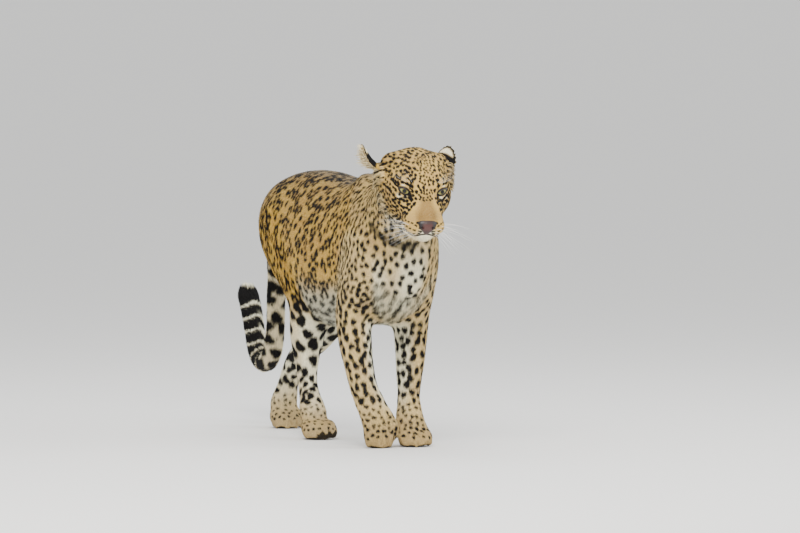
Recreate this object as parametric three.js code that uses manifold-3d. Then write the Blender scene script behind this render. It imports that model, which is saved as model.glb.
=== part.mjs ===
// A walking leopard at life size, in millimetres, +Z up, heading along -Y, its left side at +X.
// Every soft form is a smooth field: swept masses for the trunk, neck, head, legs and tail that blend
// into one another. The field is meshed region by region and parted where a person would name the parts.
import * as THREE from "three";
import { mergeVertices } from "three/addons/utils/BufferGeometryUtils.js";
import Module from "manifold-3d";

const wasm = await Module();
wasm.setup();

// Driving dimensions of the animal
const JOINT_GAP = 0.35; // air between two named parts where they meet
const FLOOR = 0; // the round soles reach a little below it and are pressed flat there

// Mesh cell of each region: small on the face and toes, large on the trunk
const CELL = {
  head: 10.5,
  nose: 5,
  neck: 23,
  torso: 33,
  leg: 21,
  paw: 11.5,
  tail: 18.5,
};

// Blend widths between masses
const BLEND = { neck: 60, limb: 36, face: 12, toes: 7, foot: 14, tail: 30 };

// Points are written as left, forward, up.
const point = (left, forward, up) => new THREE.Vector3(left, -forward, up);

// One swept mass: stations of [left, forward, up, half width, half height above, half height below].
// Its section is an ellipse whose width lies along the local X axis.
class Sweep {
  constructor(stations, stepsPerStation = 3) {
    const count = (stations.length - 1) * stepsPerStation;
    const line = new THREE.CatmullRomCurve3(stations.map((s) => point(s[0], s[1], s[2])));
    const size = new THREE.CatmullRomCurve3(
      stations.map((s) => new THREE.Vector3(s[3], s[4], s[5] ?? s[4])),
    );
    this.points = [];
    this.sizes = [];
    for (let i = 0; i <= count; i++) {
      this.points.push(line.getPoint(i / count));
      this.sizes.push(size.getPoint(i / count));
    }
    this.bounds = new THREE.Box3().setFromPoints(this.points);
    this.reach = Math.max(...this.sizes.map((s) => Math.max(s.x, s.y, s.z)));
  }

  distance(x, y, z) {
    const { min, max } = this.bounds;
    const ox = Math.max(min.x - x, 0, x - max.x);
    const oy = Math.max(min.y - y, 0, y - max.y);
    const oz = Math.max(min.z - z, 0, z - max.z);
    const apart = Math.hypot(ox, oy, oz) - this.reach;
    if (apart > 60) return apart;
    let nearest = Infinity;
    for (let i = 0; i + 1 < this.points.length; i++) {
      const a = this.points[i];
      const b = this.points[i + 1];
      const ex = b.x - a.x;
      const ey = b.y - a.y;
      const ez = b.z - a.z;
      const span = ex * ex + ey * ey + ez * ez;
      let t = ((x - a.x) * ex + (y - a.y) * ey + (z - a.z) * ez) / span;
      t = Math.min(1, Math.max(0, t));
      const vx = x - a.x - t * ex;
      const vy = y - a.y - t * ey;
      const vz = z - a.z - t * ez;
      const sa = this.sizes[i];
      const sb = this.sizes[i + 1];
      const width = sa.x + t * (sb.x - sa.x);
      const length = Math.sqrt(ey * ey + ez * ez) || 1;
      const upward = (vy * ez - vz * ey) / length;
      const height = upward > 0 ? sa.y + t * (sb.y - sa.y) : sa.z + t * (sb.z - sa.z);
      const rest = Math.sqrt(vy * vy + vz * vz);
      const ratio = Math.sqrt((vx / width) ** 2 + (rest / height) ** 2);
      const far = Math.sqrt(vx * vx + rest * rest);
      const d = ratio > 1e-6 ? far - far / ratio : -Math.min(width, height);
      if (d < nearest) nearest = d;
    }
    return nearest;
  }
}

// An ellipsoid: centre as left, forward, up, and its half sizes the same way round.
class Bulge {
  constructor(left, forward, up, a, b, c) {
    Object.assign(this, { x: left, y: -forward, z: up, a, b, c });
  }

  distance(x, y, z) {
    const dx = x - this.x;
    const dy = y - this.y;
    const dz = z - this.z;
    const ratio = Math.sqrt((dx / this.a) ** 2 + (dy / this.b) ** 2 + (dz / this.c) ** 2);
    const far = Math.sqrt(dx * dx + dy * dy + dz * dz);
    return ratio > 1e-6 ? far - far / ratio : -Math.min(this.a, this.b, this.c);
  }
}

function join(a, b, blend) {
  const h = Math.max(blend - Math.abs(a - b), 0) / blend;
  return Math.min(a, b) - (h * h * blend) / 4;
}

const carve = (a, b, blend) => -join(-a, b, blend);

// Trunk from the rump to the chest: back line, middle, belly line and half width at each station
const TRUNK = [
  [-625, 518, 478, 436, 32],
  [-598, 543, 466, 408, 54],
  [-550, 568, 452, 378, 74],
  [-490, 586, 440, 340, 86],
  [-420, 598, 430, 300, 90],
  [-350, 602, 425, 270, 97],
  [-270, 600, 415, 255, 106],
  [-190, 590, 405, 252, 111],
  [-110, 583, 410, 262, 107],
  [-40, 588, 420, 270, 98],
  [30, 589, 430, 276, 86],
  [78, 580, 440, 302, 70],
  [108, 552, 450, 345, 50],
];
const trunk = new Sweep(
  TRUNK.map(([f, back, middle, belly, w]) => [0, f, middle, w, back - middle, middle - belly]),
  2,
);
const neck = new Sweep([
  [0, -20, 480, 78, 105],
  [0, 50, 488, 81, 98],
  [-6, 110, 508, 82, 94],
  [-16, 170, 536, 77, 84],
  [-26, 222, 566, 68, 70],
]);
const tail = new Sweep([
  [0, -560, 525, 34, 34],
  [3, -620, 500, 32, 32],
  [12, -668, 446, 28, 28],
  [22, -698, 370, 25, 25],
  [28, -718, 292, 24, 24],
  [30, -730, 215, 24, 24],
  [30, -751, 160, 24, 24],
  [30, -798, 135, 24, 24],
  [30, -841, 160, 25, 25],
  [30, -862, 210, 25, 25],
  [30, -884, 258, 26, 26],
  [30, -905, 289, 26, 26],
]);

// Legs: shoulder or hip to the root of the toes, half width across and half depth fore and aft
const FRONT_LEFT = [
  [42, 0, 560, 24, 50],
  [58, 40, 480, 34, 58],
  [64, 62, 408, 37, 58],
  [73, 22, 350, 38, 58],
  [78, -14, 300, 39, 50],
  [73, -10, 240, 38, 42],
  [66, 2, 175, 33, 33],
  [58, 14, 115, 28, 28],
  [52, 32, 76, 30, 24],
  [49, 48, 48, 36, 24],
];
const FRONT_RIGHT = [
  [-42, 10, 560, 24, 50],
  [-58, 52, 482, 34, 58],
  [-70, 80, 412, 38, 58],
  [-78, 48, 352, 38, 58],
  [-78, 18, 302, 37, 48],
  [-76, 28, 240, 38, 42],
  [-73, 46, 178, 33, 36],
  [-67, 60, 130, 32, 34],
  [-58, 76, 98, 34, 28],
  [-50, 88, 72, 38, 24],
];
const HIND_RIGHT = [
  [-38, -490, 470, 44, 78],
  [-42, -432, 410, 44, 72],
  [-46, -362, 352, 44, 58],
  [-48, -325, 298, 43, 50],
  [-47, -332, 240, 41, 46],
  [-44, -345, 195, 33, 37],
  [-43, -346, 158, 26, 32],
  [-46, -336, 125, 23, 30],
  [-54, -300, 90, 26, 25],
  [-60, -262, 54, 32, 25],
];
const HIND_LEFT = [
  [38, -500, 470, 44, 78],
  [44, -466, 400, 44, 72],
  [50, -420, 322, 42, 58],
  [48, -432, 262, 38, 46],
  [38, -488, 212, 32, 38],
  [27, -552, 172, 27, 31],
  [20, -584, 146, 24, 31],
  [14, -612, 96, 26, 24],
  [8, -622, 54, 32, 25],
];

// A paw in its own frame: X across, -Y towards the toes, +Z on the back of the paw
const TOE_SPREAD = [-31, -11, 11, 31];
const TOE_LENGTH = [46, 60, 60, 44];
function pawMasses(size) {
  const toes = TOE_SPREAD.map((left, i) => {
    const far = TOE_LENGTH[i];
    const rows = [
      [left * 0.7, 4, -4, 12, 15],
      [left * 0.95, far * 0.52, -3, 12.5, 17, 20],
      [left, far * 0.86, -14, 12, 15, 17],
      [left * 0.98, far, -22, 10.5, 11, 12],
    ];
    return new Sweep(rows.map((r) => r.map((v) => v * size)), 2);
  });
  const pad = new Bulge(0, 6 * size, -22 * size, 30 * size, 26 * size, 20 * size);
  return { toes, pad };
}

class Leg {
  constructor(stations, paw) {
    this.sweep = new Sweep(stations);
    Object.assign(this, pawMasses(paw.size));
    this.frame = paw.frame;
    this.inverse = paw.frame.clone().invert();
    this.local = new THREE.Vector3();
  }

  distance(x, y, z) {
    const p = this.local.set(x, y, z).applyMatrix4(this.inverse);
    let paw = this.pad.distance(p.x, p.y, p.z);
    if (paw < 200) {
      let toes = Infinity;
      for (const toe of this.toes) toes = join(toes, toe.distance(p.x, p.y, p.z), BLEND.toes * 0.6);
      paw = join(paw, toes, BLEND.toes);
    }
    return join(this.sweep.distance(x, y, z), paw, BLEND.foot);
  }
}

// A paw's frame from the place of its toe roots, the way its toes point and the way its back faces
function pawFrame(place, toes, back) {
  const y = toes.clone().normalize().negate();
  const z = back.clone().addScaledVector(y, -back.dot(y)).normalize();
  const x = new THREE.Vector3().crossVectors(y, z);
  return new THREE.Matrix4().makeBasis(x, y, z).setPosition(place);
}

const UP = new THREE.Vector3(0, 0, 1);
const LEGS = {
  front_left: new Leg(FRONT_LEFT, {
    size: 0.94,
    frame: pawFrame(point(49, 44, 30.5), point(4, 100, 0), UP),
  }),
  front_right: new Leg(FRONT_RIGHT, {
    size: 1,
    frame: pawFrame(point(-46, 90, 66), point(28, 36, -100), point(0, 100, 40)),
  }),
  hind_left: new Leg(HIND_LEFT, {
    size: 0.94,
    frame: pawFrame(point(8, -624, 30.5), point(-4, 100, 0), UP),
  }),
  hind_right: new Leg(HIND_RIGHT, {
    size: 0.96,
    frame: pawFrame(point(-61, -250, 31.2), point(-8, 100, 0), UP),
  }),
};

// The head stands in its own frame, whose origin is midway between the eyeballs.
const HEAD_AT = point(-38, 330, 582);
const HEAD_TURN = THREE.MathUtils.degToRad(-10);
const HEAD_NOD = THREE.MathUtils.degToRad(18);
const HEAD_TILT = THREE.MathUtils.degToRad(2);
const headFrame = new THREE.Matrix4()
  .makeTranslation(HEAD_AT)
  .multiply(new THREE.Matrix4().makeRotationZ(HEAD_TURN))
  .multiply(new THREE.Matrix4().makeRotationX(HEAD_NOD))
  .multiply(new THREE.Matrix4().makeRotationY(HEAD_TILT));
const headInverse = headFrame.clone().invert();
const onHead = (left, forward, up) => point(left, forward, up).applyMatrix4(headFrame);

const EYE_RADIUS = 14.5;
const EYE_LEFT = 39;
const EYE_AIM = [26, 100, 8]; // left, forward, up of the left eye's line of sight on the head
const LID_THICKNESS = 3;

const skull = new Sweep([
  [0, -122, -4, 48, 48, 58],
  [0, -95, 0, 62, 63, 72],
  [0, -60, -4, 67, 66, 78],
  [0, -30, -10, 65, 59, 74],
  [0, -5, -22, 57, 47, 64],
  [0, 18, -36, 48, 41, 52],
  [0, 38, -46, 41, 36, 42],
  [0, 50, -54, 34, 31, 33],
]);
const bridge = new Sweep([
  [0, 0, 4, 17, 14],
  [0, 22, -10, 19, 15],
  [0, 48, -22, 21, 14],
  [0, 72, -33, 20, 11],
]);
const nosePad = new Sweep(
  [
    [0, 80, -48, 22, 8],
    [0, 82, -54, 20, 9],
    [0, 82, -62, 12, 9],
    [0, 78, -70, 5, 7],
  ],
  2,
);
const jaw = new Sweep([
  [0, 58, -88, 22, 12],
  [0, 30, -88, 33, 17],
  [0, -10, -84, 48, 24],
  [0, -50, -80, 55, 30],
]);
const faceSides = [1, -1].map((side) => ({
  brow: new Sweep(
    [
      [16, 12, 17, 8, 8],
      [34, 7, 22, 8, 8],
      [54, -10, 18, 8, 9],
    ].map(([l, ...rest]) => [side * l, ...rest]),
    2,
  ),
  cheek: new Bulge(side * 46, -42, -28, 26, 42, 36),
  ruff: new Bulge(side * 46, -88, -34, 30, 34, 50),
  earRoot: new Bulge(side * 54, -94, 18, 26, 28, 32),
  whiskerPad: new Bulge(side * 22, 54, -62, 24, 32, 21),
  socket: new Bulge(side * 48, 25, -1, 22, 21, 15),
}));

function headDistance(x, y, z) {
  const k = BLEND.face;
  let d = skull.distance(x, y, z);
  if (d > 120) return d;
  d = join(d, bridge.distance(x, y, z), k);
  d = join(d, jaw.distance(x, y, z), k);
  for (const side of faceSides) {
    d = join(d, side.ruff.distance(x, y, z), 2 * k);
    d = join(d, side.earRoot.distance(x, y, z), 2 * k);
    d = join(d, side.cheek.distance(x, y, z), 2 * k);
    d = join(d, side.whiskerPad.distance(x, y, z), 0.6 * k);
    d = join(d, side.brow.distance(x, y, z), k);
    d = carve(d, side.socket.distance(x, y, z), k);
  }
  return d;
}

const onHeadLocal = new THREE.Vector3();
function coreDistance(x, y, z) {
  let d = join(trunk.distance(x, y, z), neck.distance(x, y, z), BLEND.neck);
  d = join(d, tail.distance(x, y, z), BLEND.tail);
  const p = onHeadLocal.set(x, y, z).applyMatrix4(headInverse);
  return join(d, headDistance(p.x, p.y, p.z), 30);
}

function bodyDistance(x, y, z) {
  const core = coreDistance(x, y, z);
  let d = core;
  for (const leg of Object.values(LEGS)) d = Math.min(d, join(core, leg.distance(x, y, z), BLEND.limb));
  return d;
}

const legDistance = (leg) => (x, y, z) =>
  join(coreDistance(x, y, z), leg.distance(x, y, z), BLEND.limb);

// Meshes a field inside a box. The grid is shifted a little until every edge joins just two faces.
function meshOf(field, low, high, cell) {
  for (let attempt = 0; attempt < 12; attempt++) {
    const shift = attempt * 0.137 * cell;
    const mesh = netOf(field, low.map((v) => v - shift), high, cell);
    if (joinsCleanly(mesh.triVerts)) return new wasm.Manifold(mesh);
  }
  throw new Error("no clean grid for this region");
}

function joinsCleanly(triangles) {
  const uses = new Set();
  for (let i = 0; i < triangles.length; i++) {
    const next = i % 3 === 2 ? i - 2 : i + 1;
    const edge = triangles[i] * 1e6 + triangles[next];
    if (uses.has(edge)) return false;
    uses.add(edge);
  }
  return true;
}

// A net of one vertex in each cell that the surface crosses, drawn onto the surface
function netOf(field, low, high, cell) {
  const counts = [0, 1, 2].map((i) => Math.ceil((high[i] - low[i]) / cell) + 1);
  const [nx, ny, nz] = counts;
  const at = (i, j, k) => (k * ny + j) * nx + i;
  const values = new Float64Array(nx * ny * nz);
  for (let k = 0; k < nz; k++)
    for (let j = 0; j < ny; j++)
      for (let i = 0; i < nx; i++) {
        const rim = i === 0 || j === 0 || k === 0 || i === nx - 1 || j === ny - 1 || k === nz - 1;
        const d = field(low[0] + i * cell, low[1] + j * cell, low[2] + k * cell);
        values[at(i, j, k)] = rim ? Math.max(d, 0.3 * cell) : d || 1e-6;
      }
  const vertexOf = new Int32Array(nx * ny * nz).fill(-1);
  const vertices = [];
  const corners = [];
  for (let c = 0; c < 8; c++) corners.push([c & 1, (c >> 1) & 1, (c >> 2) & 1]);
  for (let k = 0; k + 1 < nz; k++)
    for (let j = 0; j + 1 < ny; j++)
      for (let i = 0; i + 1 < nx; i++) {
        const v = corners.map(([a, b, c]) => values[at(i + a, j + b, k + c)]);
        const inside = v.filter((d) => d < 0).length;
        if (inside === 0 || inside === 8) continue;
        const sum = [0, 0, 0];
        let crossings = 0;
        for (let a = 0; a < 8; a++)
          for (const bit of [1, 2, 4]) {
            const b = a | bit;
            if (b === a || v[a] < 0 === v[b] < 0) continue;
            const t = v[a] / (v[a] - v[b]);
            for (let m = 0; m < 3; m++) sum[m] += corners[a][m] + t * (corners[b][m] - corners[a][m]);
            crossings++;
          }
        vertexOf[at(i, j, k)] = vertices.length / 3;
        const home = [i, j, k].map((n, m) => low[m] + (n + sum[m] / crossings) * cell);
        vertices.push(...drawnOnto(field, home, 0.45 * cell, low, high));
      }
  const triangles = [];
  const quad = (a, b, c, d, flip) => {
    const far = (p, q) =>
      Math.hypot(...[0, 1, 2].map((m) => vertices[3 * p + m] - vertices[3 * q + m]));
    const [p, q, r, s] = flip ? [a, d, c, b] : [a, b, c, d];
    if (far(p, r) <= far(q, s)) triangles.push(p, q, r, p, r, s);
    else triangles.push(q, r, s, q, s, p);
  };
  for (let k = 0; k + 1 < nz; k++)
    for (let j = 0; j + 1 < ny; j++)
      for (let i = 0; i + 1 < nx; i++) {
        const here = values[at(i, j, k)] < 0;
        const cellAt = (a, b, c) => vertexOf[at(i - a, j - b, k - c)];
        if (j && k && here !== values[at(i + 1, j, k)] < 0)
          quad(cellAt(0, 1, 1), cellAt(0, 0, 1), cellAt(0, 0, 0), cellAt(0, 1, 0), !here);
        if (i && k && here !== values[at(i, j + 1, k)] < 0)
          quad(cellAt(1, 0, 1), cellAt(1, 0, 0), cellAt(0, 0, 0), cellAt(0, 0, 1), !here);
        if (i && j && here !== values[at(i, j, k + 1)] < 0)
          quad(cellAt(1, 1, 0), cellAt(0, 1, 0), cellAt(0, 0, 0), cellAt(1, 0, 0), !here);
      }
  return new wasm.Mesh({
    numProp: 3,
    vertProperties: new Float32Array(vertices),
    triVerts: new Uint32Array(triangles),
  });
}

function drawnOnto(field, home, limit, low, high) {
  const p = [...home];
  const step = 0.5;
  for (let pass = 0; pass < 3; pass++) {
    const d = field(...p);
    const slope = [0, 1, 2].map((m) => {
      const q = [...p];
      q[m] += step;
      return (field(...q) - d) / step;
    });
    const steep = slope.reduce((s, g) => s + g * g, 0);
    if (steep < 0.05) break;
    for (let m = 0; m < 3; m++) p[m] -= (d * slope[m]) / steep;
  }
  const moved = Math.hypot(...p.map((v, m) => v - home[m]));
  const inBox = p.every((v, m) => v > low[m] && v < high[m]);
  return moved < limit && inBox ? p : home;
}

const solidOf = (geometry) => {
  const bare = geometry.index ? geometry.toNonIndexed() : geometry.clone();
  for (const name of Object.keys(bare.attributes)) if (name !== "position") bare.deleteAttribute(name);
  const merged = mergeVertices(bare, 1e-3);
  return new wasm.Manifold(
    new wasm.Mesh({
      numProp: 3,
      vertProperties: merged.attributes.position.array,
      triVerts: new Uint32Array(merged.index.array),
    }),
  );
};

const placed = (geometry, matrix) => solidOf(geometry.applyMatrix4(matrix));
const largest = (solid) => solid.decompose().sort((a, b) => b.volume() - a.volume())[0];

// A cut through the animal: a point on it and the way it faces. keepFront keeps what lies that way.
class Cut {
  constructor(at, facing) {
    this.normal = facing.clone().normalize();
    this.offset = this.normal.dot(at);
  }
  keepFront(solid) {
    return solid.trimByPlane(this.normal.toArray(), this.offset + JOINT_GAP / 2);
  }
  keepBack(solid) {
    return solid.trimByPlane(this.normal.clone().negate().toArray(), -this.offset + JOINT_GAP / 2);
  }
}

const headCut = new Cut(onHead(0, -92, 0), onHead(0, 100, 42).sub(onHead(0, 0, 0)));
const neckCut = new Cut(point(0, 57, 495), point(0, 200, 130));
const tailCuts = [
  new Cut(point(3, -636, 488), point(0, -100, -60)),
  new Cut(point(24, -704, 345), point(6, -20, -100)),
  new Cut(point(30, -756, 155), point(0, -100, -80)),
  new Cut(point(30, -848, 172), point(0, -50, 100)),
];

// Where each leg parts from the trunk: an oval round the shoulder or hip, and one down round the limb
const LEG_ROOTS = {
  front_left: [
    { from: [86, 50, 410], to: [88, -4, 282], wide: 52, deep: 78 },
    { from: [80, -6, 290], to: [56, 20, 60], wide: 64, deep: 72 },
  ],
  front_right: [
    { from: [-88, 66, 410], to: [-90, 24, 282], wide: 52, deep: 78 },
    { from: [-80, 20, 290], to: [-60, 80, 60], wide: 64, deep: 76 },
  ],
  hind_left: [
    { from: [82, -490, 430], to: [82, -436, 320], wide: 60, deep: 88 },
    { from: [54, -424, 330], to: [10, -620, 90], wide: 64, deep: 78 },
  ],
  hind_right: [
    { from: [-82, -470, 430], to: [-82, -360, 330], wide: 60, deep: 86 },
    { from: [-54, -334, 330], to: [-54, -330, 70], wide: 64, deep: 84 },
  ],
};

function oval({ from, to, wide, deep }, grow) {
  const a = point(...from);
  const b = point(...to);
  const length = a.distanceTo(b);
  const along = a.clone().sub(b).normalize();
  const across = new THREE.Vector3(1, 0, 0).addScaledVector(along, -along.x).normalize();
  const capsule = new THREE.CapsuleGeometry(1, length / deep, 4, 16);
  const scale = new THREE.Matrix4().makeScale(wide + grow, deep + grow, deep + grow);
  const basis = new THREE.Matrix4()
    .makeBasis(across, along, new THREE.Vector3().crossVectors(across, along))
    .setPosition(a.add(b).multiplyScalar(0.5));
  return placed(capsule, basis.multiply(scale));
}

const legRegion = (name, grow) =>
  LEG_ROOTS[name].map((part) => oval(part, grow)).reduce((whole, part) => whole.add(part));

const nodes = new Map();

function makeTorso() {
  let solid = meshOf(bodyDistance, [-170, -180, 225], [170, 690, 640], CELL.torso);
  solid = neckCut.keepBack(solid);
  solid = tailCuts[0].keepBack(solid);
  for (const name of Object.keys(LEGS)) solid = solid.subtract(legRegion(name, JOINT_GAP));
  nodes.set("torso", largest(solid));
}

function makeNeck() {
  const solid = meshOf(coreWithForelegs, [-150, -330, 300], [130, 20, 700], CELL.neck);
  let kept = headCut.keepBack(neckCut.keepFront(solid));
  for (const name of ["front_left", "front_right"]) kept = kept.subtract(legRegion(name, JOINT_GAP));
  nodes.set("neck", largest(kept));
}

function coreWithForelegs(x, y, z) {
  const core = coreDistance(x, y, z);
  const left = join(core, LEGS.front_left.distance(x, y, z), BLEND.limb);
  return Math.min(left, join(core, LEGS.front_right.distance(x, y, z), BLEND.limb));
}

const LEG_BOXES = {
  front_left: [[-10, -170, 60], [160, 110, 520]],
  front_right: [[-170, -190, 70], [10, 90, 520]],
  hind_left: [[-50, 300, 60], [160, 660, 560]],
  hind_right: [[-160, 200, 60], [20, 620, 560]],
};
const PAW_BOXES = {
  front_left: [[-10, -125, -30], [115, 20, 120]],
  front_right: [[-115, -165, -30], [35, 0, 150]],
  hind_left: [[-50, 535, -30], [65, 660, 120]],
  hind_right: [[-120, 160, -30], [5, 330, 120]],
};
const ANKLES = {
  front_left: new Cut(point(55, 26, 86), point(-10, -40, 100)),
  front_right: new Cut(point(-62, 69, 112), point(-25, -42, 100)),
  hind_left: new Cut(point(12, -611, 88), point(0, 14, 100)),
  hind_right: new Cut(point(-56, -288, 82), point(0, -70, 100)),
};

function makeLeg(name) {
  const field = legDistance(LEGS[name]);
  const upper = meshOf(field, ...LEG_BOXES[name], CELL.leg).intersect(legRegion(name, 0));
  nodes.set(`leg_${name}`, largest(ANKLES[name].keepFront(upper)));
  const lower = meshOf(field, ...PAW_BOXES[name], CELL.paw);
  const pressed = lower.trimByPlane([0, 0, 1], FLOOR);
  nodes.set(`paw_${name}`, largest(ANKLES[name].keepBack(pressed)));
}

function makeTail() {
  const spans = [
    ["tail_root", [-60, 570, 290], [80, 780, 600]],
    ["tail_middle", [-20, 640, 110], [80, 830, 430]],
    ["tail_bend", [-20, 700, 80], [80, 930, 260]],
    ["tail_tip", [-20, 790, 100], [80, 970, 340]],
  ];
  spans.forEach(([name, low, high], i) => {
    let solid = meshOf((x, y, z) => coreDistance(x, y, z), low, high, CELL.tail);
    solid = tailCuts[i].keepFront(solid);
    if (i + 1 < tailCuts.length) solid = tailCuts[i + 1].keepBack(solid);
    nodes.set(name, largest(solid));
  });
}

const headField = (grow) => (x, y, z) => coreDistance(x, y, z) - grow;

function eyeSolid(side, radius) {
  const ball = new THREE.IcosahedronGeometry(radius, 2);
  return placed(ball, new THREE.Matrix4().setPosition(onHead(side * EYE_LEFT, 0, 0)));
}

// The almond opening between the lids: a wedge run forward from the eyeball, its outer corner raised
const LID_HALF_LENGTH = 14;
const LID_SLANT = THREE.MathUtils.degToRad(20);
const LID_RISE = 7.5;
const LID_FALL = 6.5;
function lidOpening(side) {
  const almond = new THREE.Shape();
  almond.moveTo(-LID_HALF_LENGTH, 0);
  almond.quadraticCurveTo(-2, 2 * LID_RISE, LID_HALF_LENGTH, 0);
  almond.quadraticCurveTo(2, -2 * LID_FALL, -LID_HALF_LENGTH, 0);
  const wedge = new THREE.ExtrudeGeometry(almond, { depth: 30, bevelEnabled: false, curveSegments: 6 });
  wedge.rotateZ(LID_SLANT);
  if (side < 0) wedge.rotateY(Math.PI).translate(0, 0, 30);
  const sight = onHead(side * EYE_AIM[0], EYE_AIM[1], EYE_AIM[2]).sub(onHead(0, 0, 0)).normalize();
  const upward = onHead(0, 0, 1).sub(onHead(0, 0, 0));
  upward.addScaledVector(sight, -upward.dot(sight)).normalize();
  const across = new THREE.Vector3().crossVectors(upward, sight);
  const basis = new THREE.Matrix4().makeBasis(across, upward, sight);
  return placed(wedge, basis.setPosition(onHead(side * EYE_LEFT, 0, 0).addScaledVector(sight, 2)));
}

// A round groove along points of the face, drawn onto its surface
function groove(points, radius) {
  const onFace = points.map(([l, f, u]) => {
    const p = onHead(l, f, u);
    return new THREE.Vector3(...drawnOnto(headField(0), p.toArray(), 40, [-1e4, -1e4, -1e4], [1e4, 1e4, 1e4]));
  });
  const path = new THREE.CatmullRomCurve3(onFace);
  const ring = new THREE.Shape();
  ring.absarc(0, 0, radius, 0, 2 * Math.PI);
  const tube = new THREE.ExtrudeGeometry(ring, { steps: 3 * points.length, extrudePath: path, curveSegments: 3 });
  return solidOf(tube);
}

const MOUTH_SIDE = [
  [0, 84, -77],
  [13, 80, -81],
  [27, 68, -84],
  [40, 46, -80],
  [47, 22, -72],
];

const NOSTRIL = { at: [12.5, 89, -56], size: [4.6, 6, 3.4] };
const NOSE_MIDDLE = [0, 80, -58];
const NOSE_SEAT_GROWTH = 1.05;

// The nose leather is a wedge set in a seat in the muzzle, with its nostrils hollowed in its lower corners
function noseWedge() {
  const field = (x, y, z) => {
    const p = onHeadLocal.set(x, y, z).applyMatrix4(headInverse);
    return nosePad.distance(p.x, p.y, p.z);
  };
  const [x, y, z] = onHead(...NOSE_MIDDLE).toArray();
  return meshOf(field, [x - 36, y - 32, z - 38], [x + 36, y + 34, z + 38], CELL.nose);
}

function noseSeat(wedge) {
  const { x, y, z } = onHead(...NOSE_MIDDLE);
  return wedge.translate(-x, -y, -z).scale(NOSE_SEAT_GROWTH).translate(x, y, z);
}

function makeNose(wedge) {
  let solid = wedge;
  for (const side of [1, -1]) {
    const [l, f, u] = NOSTRIL.at;
    const hollow = new THREE.SphereGeometry(1, 10, 6).scale(...NOSTRIL.size);
    const seat = headFrame.clone().multiply(new THREE.Matrix4().setPosition(point(side * l, f, u)));
    solid = solid.subtract(placed(hollow, seat));
  }
  nodes.set("nose", largest(solid));
}

function makeHead(seat) {
  const [hx, hy, hz] = HEAD_AT.toArray();
  let solid = meshOf(headField(0), [hx - 110, hy - 105, hz - 140], [hx + 110, hy + 165, hz + 120], CELL.head);
  solid = headCut.keepFront(solid).subtract(seat);
  for (const side of [1, -1]) solid = solid.add(eyeSolid(side, EYE_RADIUS + LID_THICKNESS));
  for (const side of [1, -1]) {
    solid = solid.subtract(lidOpening(side));
    solid = solid.subtract(eyeSolid(side, EYE_RADIUS + JOINT_GAP));
    solid = solid.subtract(groove(MOUTH_SIDE.map(([l, f, u]) => [side * l, f, u]), 1.8));
    nodes.set(side > 0 ? "eye_left" : "eye_right", eyeSolid(side, EYE_RADIUS));
  }
  solid = solid.subtract(groove([[0, 90, -68], [0, 86, -77]], 1.5));
  nodes.set("head", largest(solid));
}

// An ear: a round leaf bent into a cup, its root sunk in the head
const EAR_HALF_WIDTH = 30;
const EAR_HEIGHT = 38;
const EARS = {
  ear_left: { at: [64, -112, 30], tip: [40, -38, 36], open: [70, -68, -10] },
  ear_right: { at: [-98, -100, 33], tip: [-50, -14, 44], open: [-84, 26, -52] },
};

function earSolid({ at, tip, open }) {
  const leaf = new THREE.SphereGeometry(1, 18, 10);
  const p = leaf.attributes.position;
  for (let i = 0; i < p.count; i++) {
    const out = Math.min(1, Math.hypot(p.getX(i), p.getZ(i)));
    const spread = out > 1e-6 ? out ** 0.7 / out : 0;
    const u = p.getX(i) * spread;
    const v = p.getZ(i) * spread;
    const face = Math.sign(p.getY(i)) * Math.abs(p.getY(i)) ** 0.5 * (2.2 - 0.8 * v);
    const cup = 17 * u * u - 5 * v * v - 4 * v;
    const wide = EAR_HALF_WIDTH * (v > 0 ? 1 : 1 + 0.1 * v);
    p.setXYZ(i, u * wide, cup + face, v * EAR_HEIGHT);
  }
  const z = onHead(...tip).sub(onHead(0, 0, 0)).normalize();
  const y = onHead(...open).sub(onHead(0, 0, 0));
  y.addScaledVector(z, -y.dot(z)).normalize();
  const x = new THREE.Vector3().crossVectors(y, z);
  const basis = new THREE.Matrix4().makeBasis(x, y, z).setPosition(onHead(...at));
  return placed(leaf, basis);
}

function makeEars(hull) {
  for (const [name, ear] of Object.entries(EARS)) nodes.set(name, largest(earSolid(ear).subtract(hull)));
}

// The head grown by a clearance, to seat what stands on it
function headHull(clearance) {
  const [hx, hy, hz] = HEAD_AT.toArray();
  return meshOf(headField(clearance), [hx - 110, hy - 105, hz - 140], [hx + 110, hy + 165, hz + 120], CELL.head);
}

makeTorso();
makeNeck();
for (const name of Object.keys(LEGS)) makeLeg(name);
makeTail();
const wedge = noseWedge();
makeHead(noseSeat(wedge));
makeNose(wedge);
makeEars(headHull(0.8));

const FINEST_EDGE = 0.15; // shorter edges left by the cuts are drawn together
function geometryOf(solid) {
  const mesh = solid.simplify(FINEST_EDGE).getMesh();
  const geometry = new THREE.BufferGeometry();
  geometry.setAttribute("position", new THREE.BufferAttribute(new Float32Array(mesh.vertProperties), 3));
  geometry.setIndex(new THREE.BufferAttribute(new Uint32Array(mesh.triVerts), 1));
  return geometry;
}

const COAT = new THREE.MeshStandardMaterial({ color: 0xd9b483, roughness: 0.9, metalness: 0 });
const EYE = new THREE.MeshStandardMaterial({ color: 0xb9b27a, roughness: 0.1, metalness: 0 });

const leopard = new THREE.Group();
for (const [name, solid] of nodes) {
  const mesh = new THREE.Mesh(geometryOf(solid), name.startsWith("eye") ? EYE : COAT);
  mesh.name = name;
  leopard.add(mesh);
}

// The origin lies on the floor below the middle of the box round the animal.
const middle = new THREE.Box3().setFromObject(leopard).getCenter(new THREE.Vector3());
leopard.position.set(-middle.x, -middle.y, 0);

export default leopard;
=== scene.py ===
import math

import bmesh
import bpy
import numpy as np
from mathutils import Matrix, Vector, bvhtree, kdtree


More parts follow.
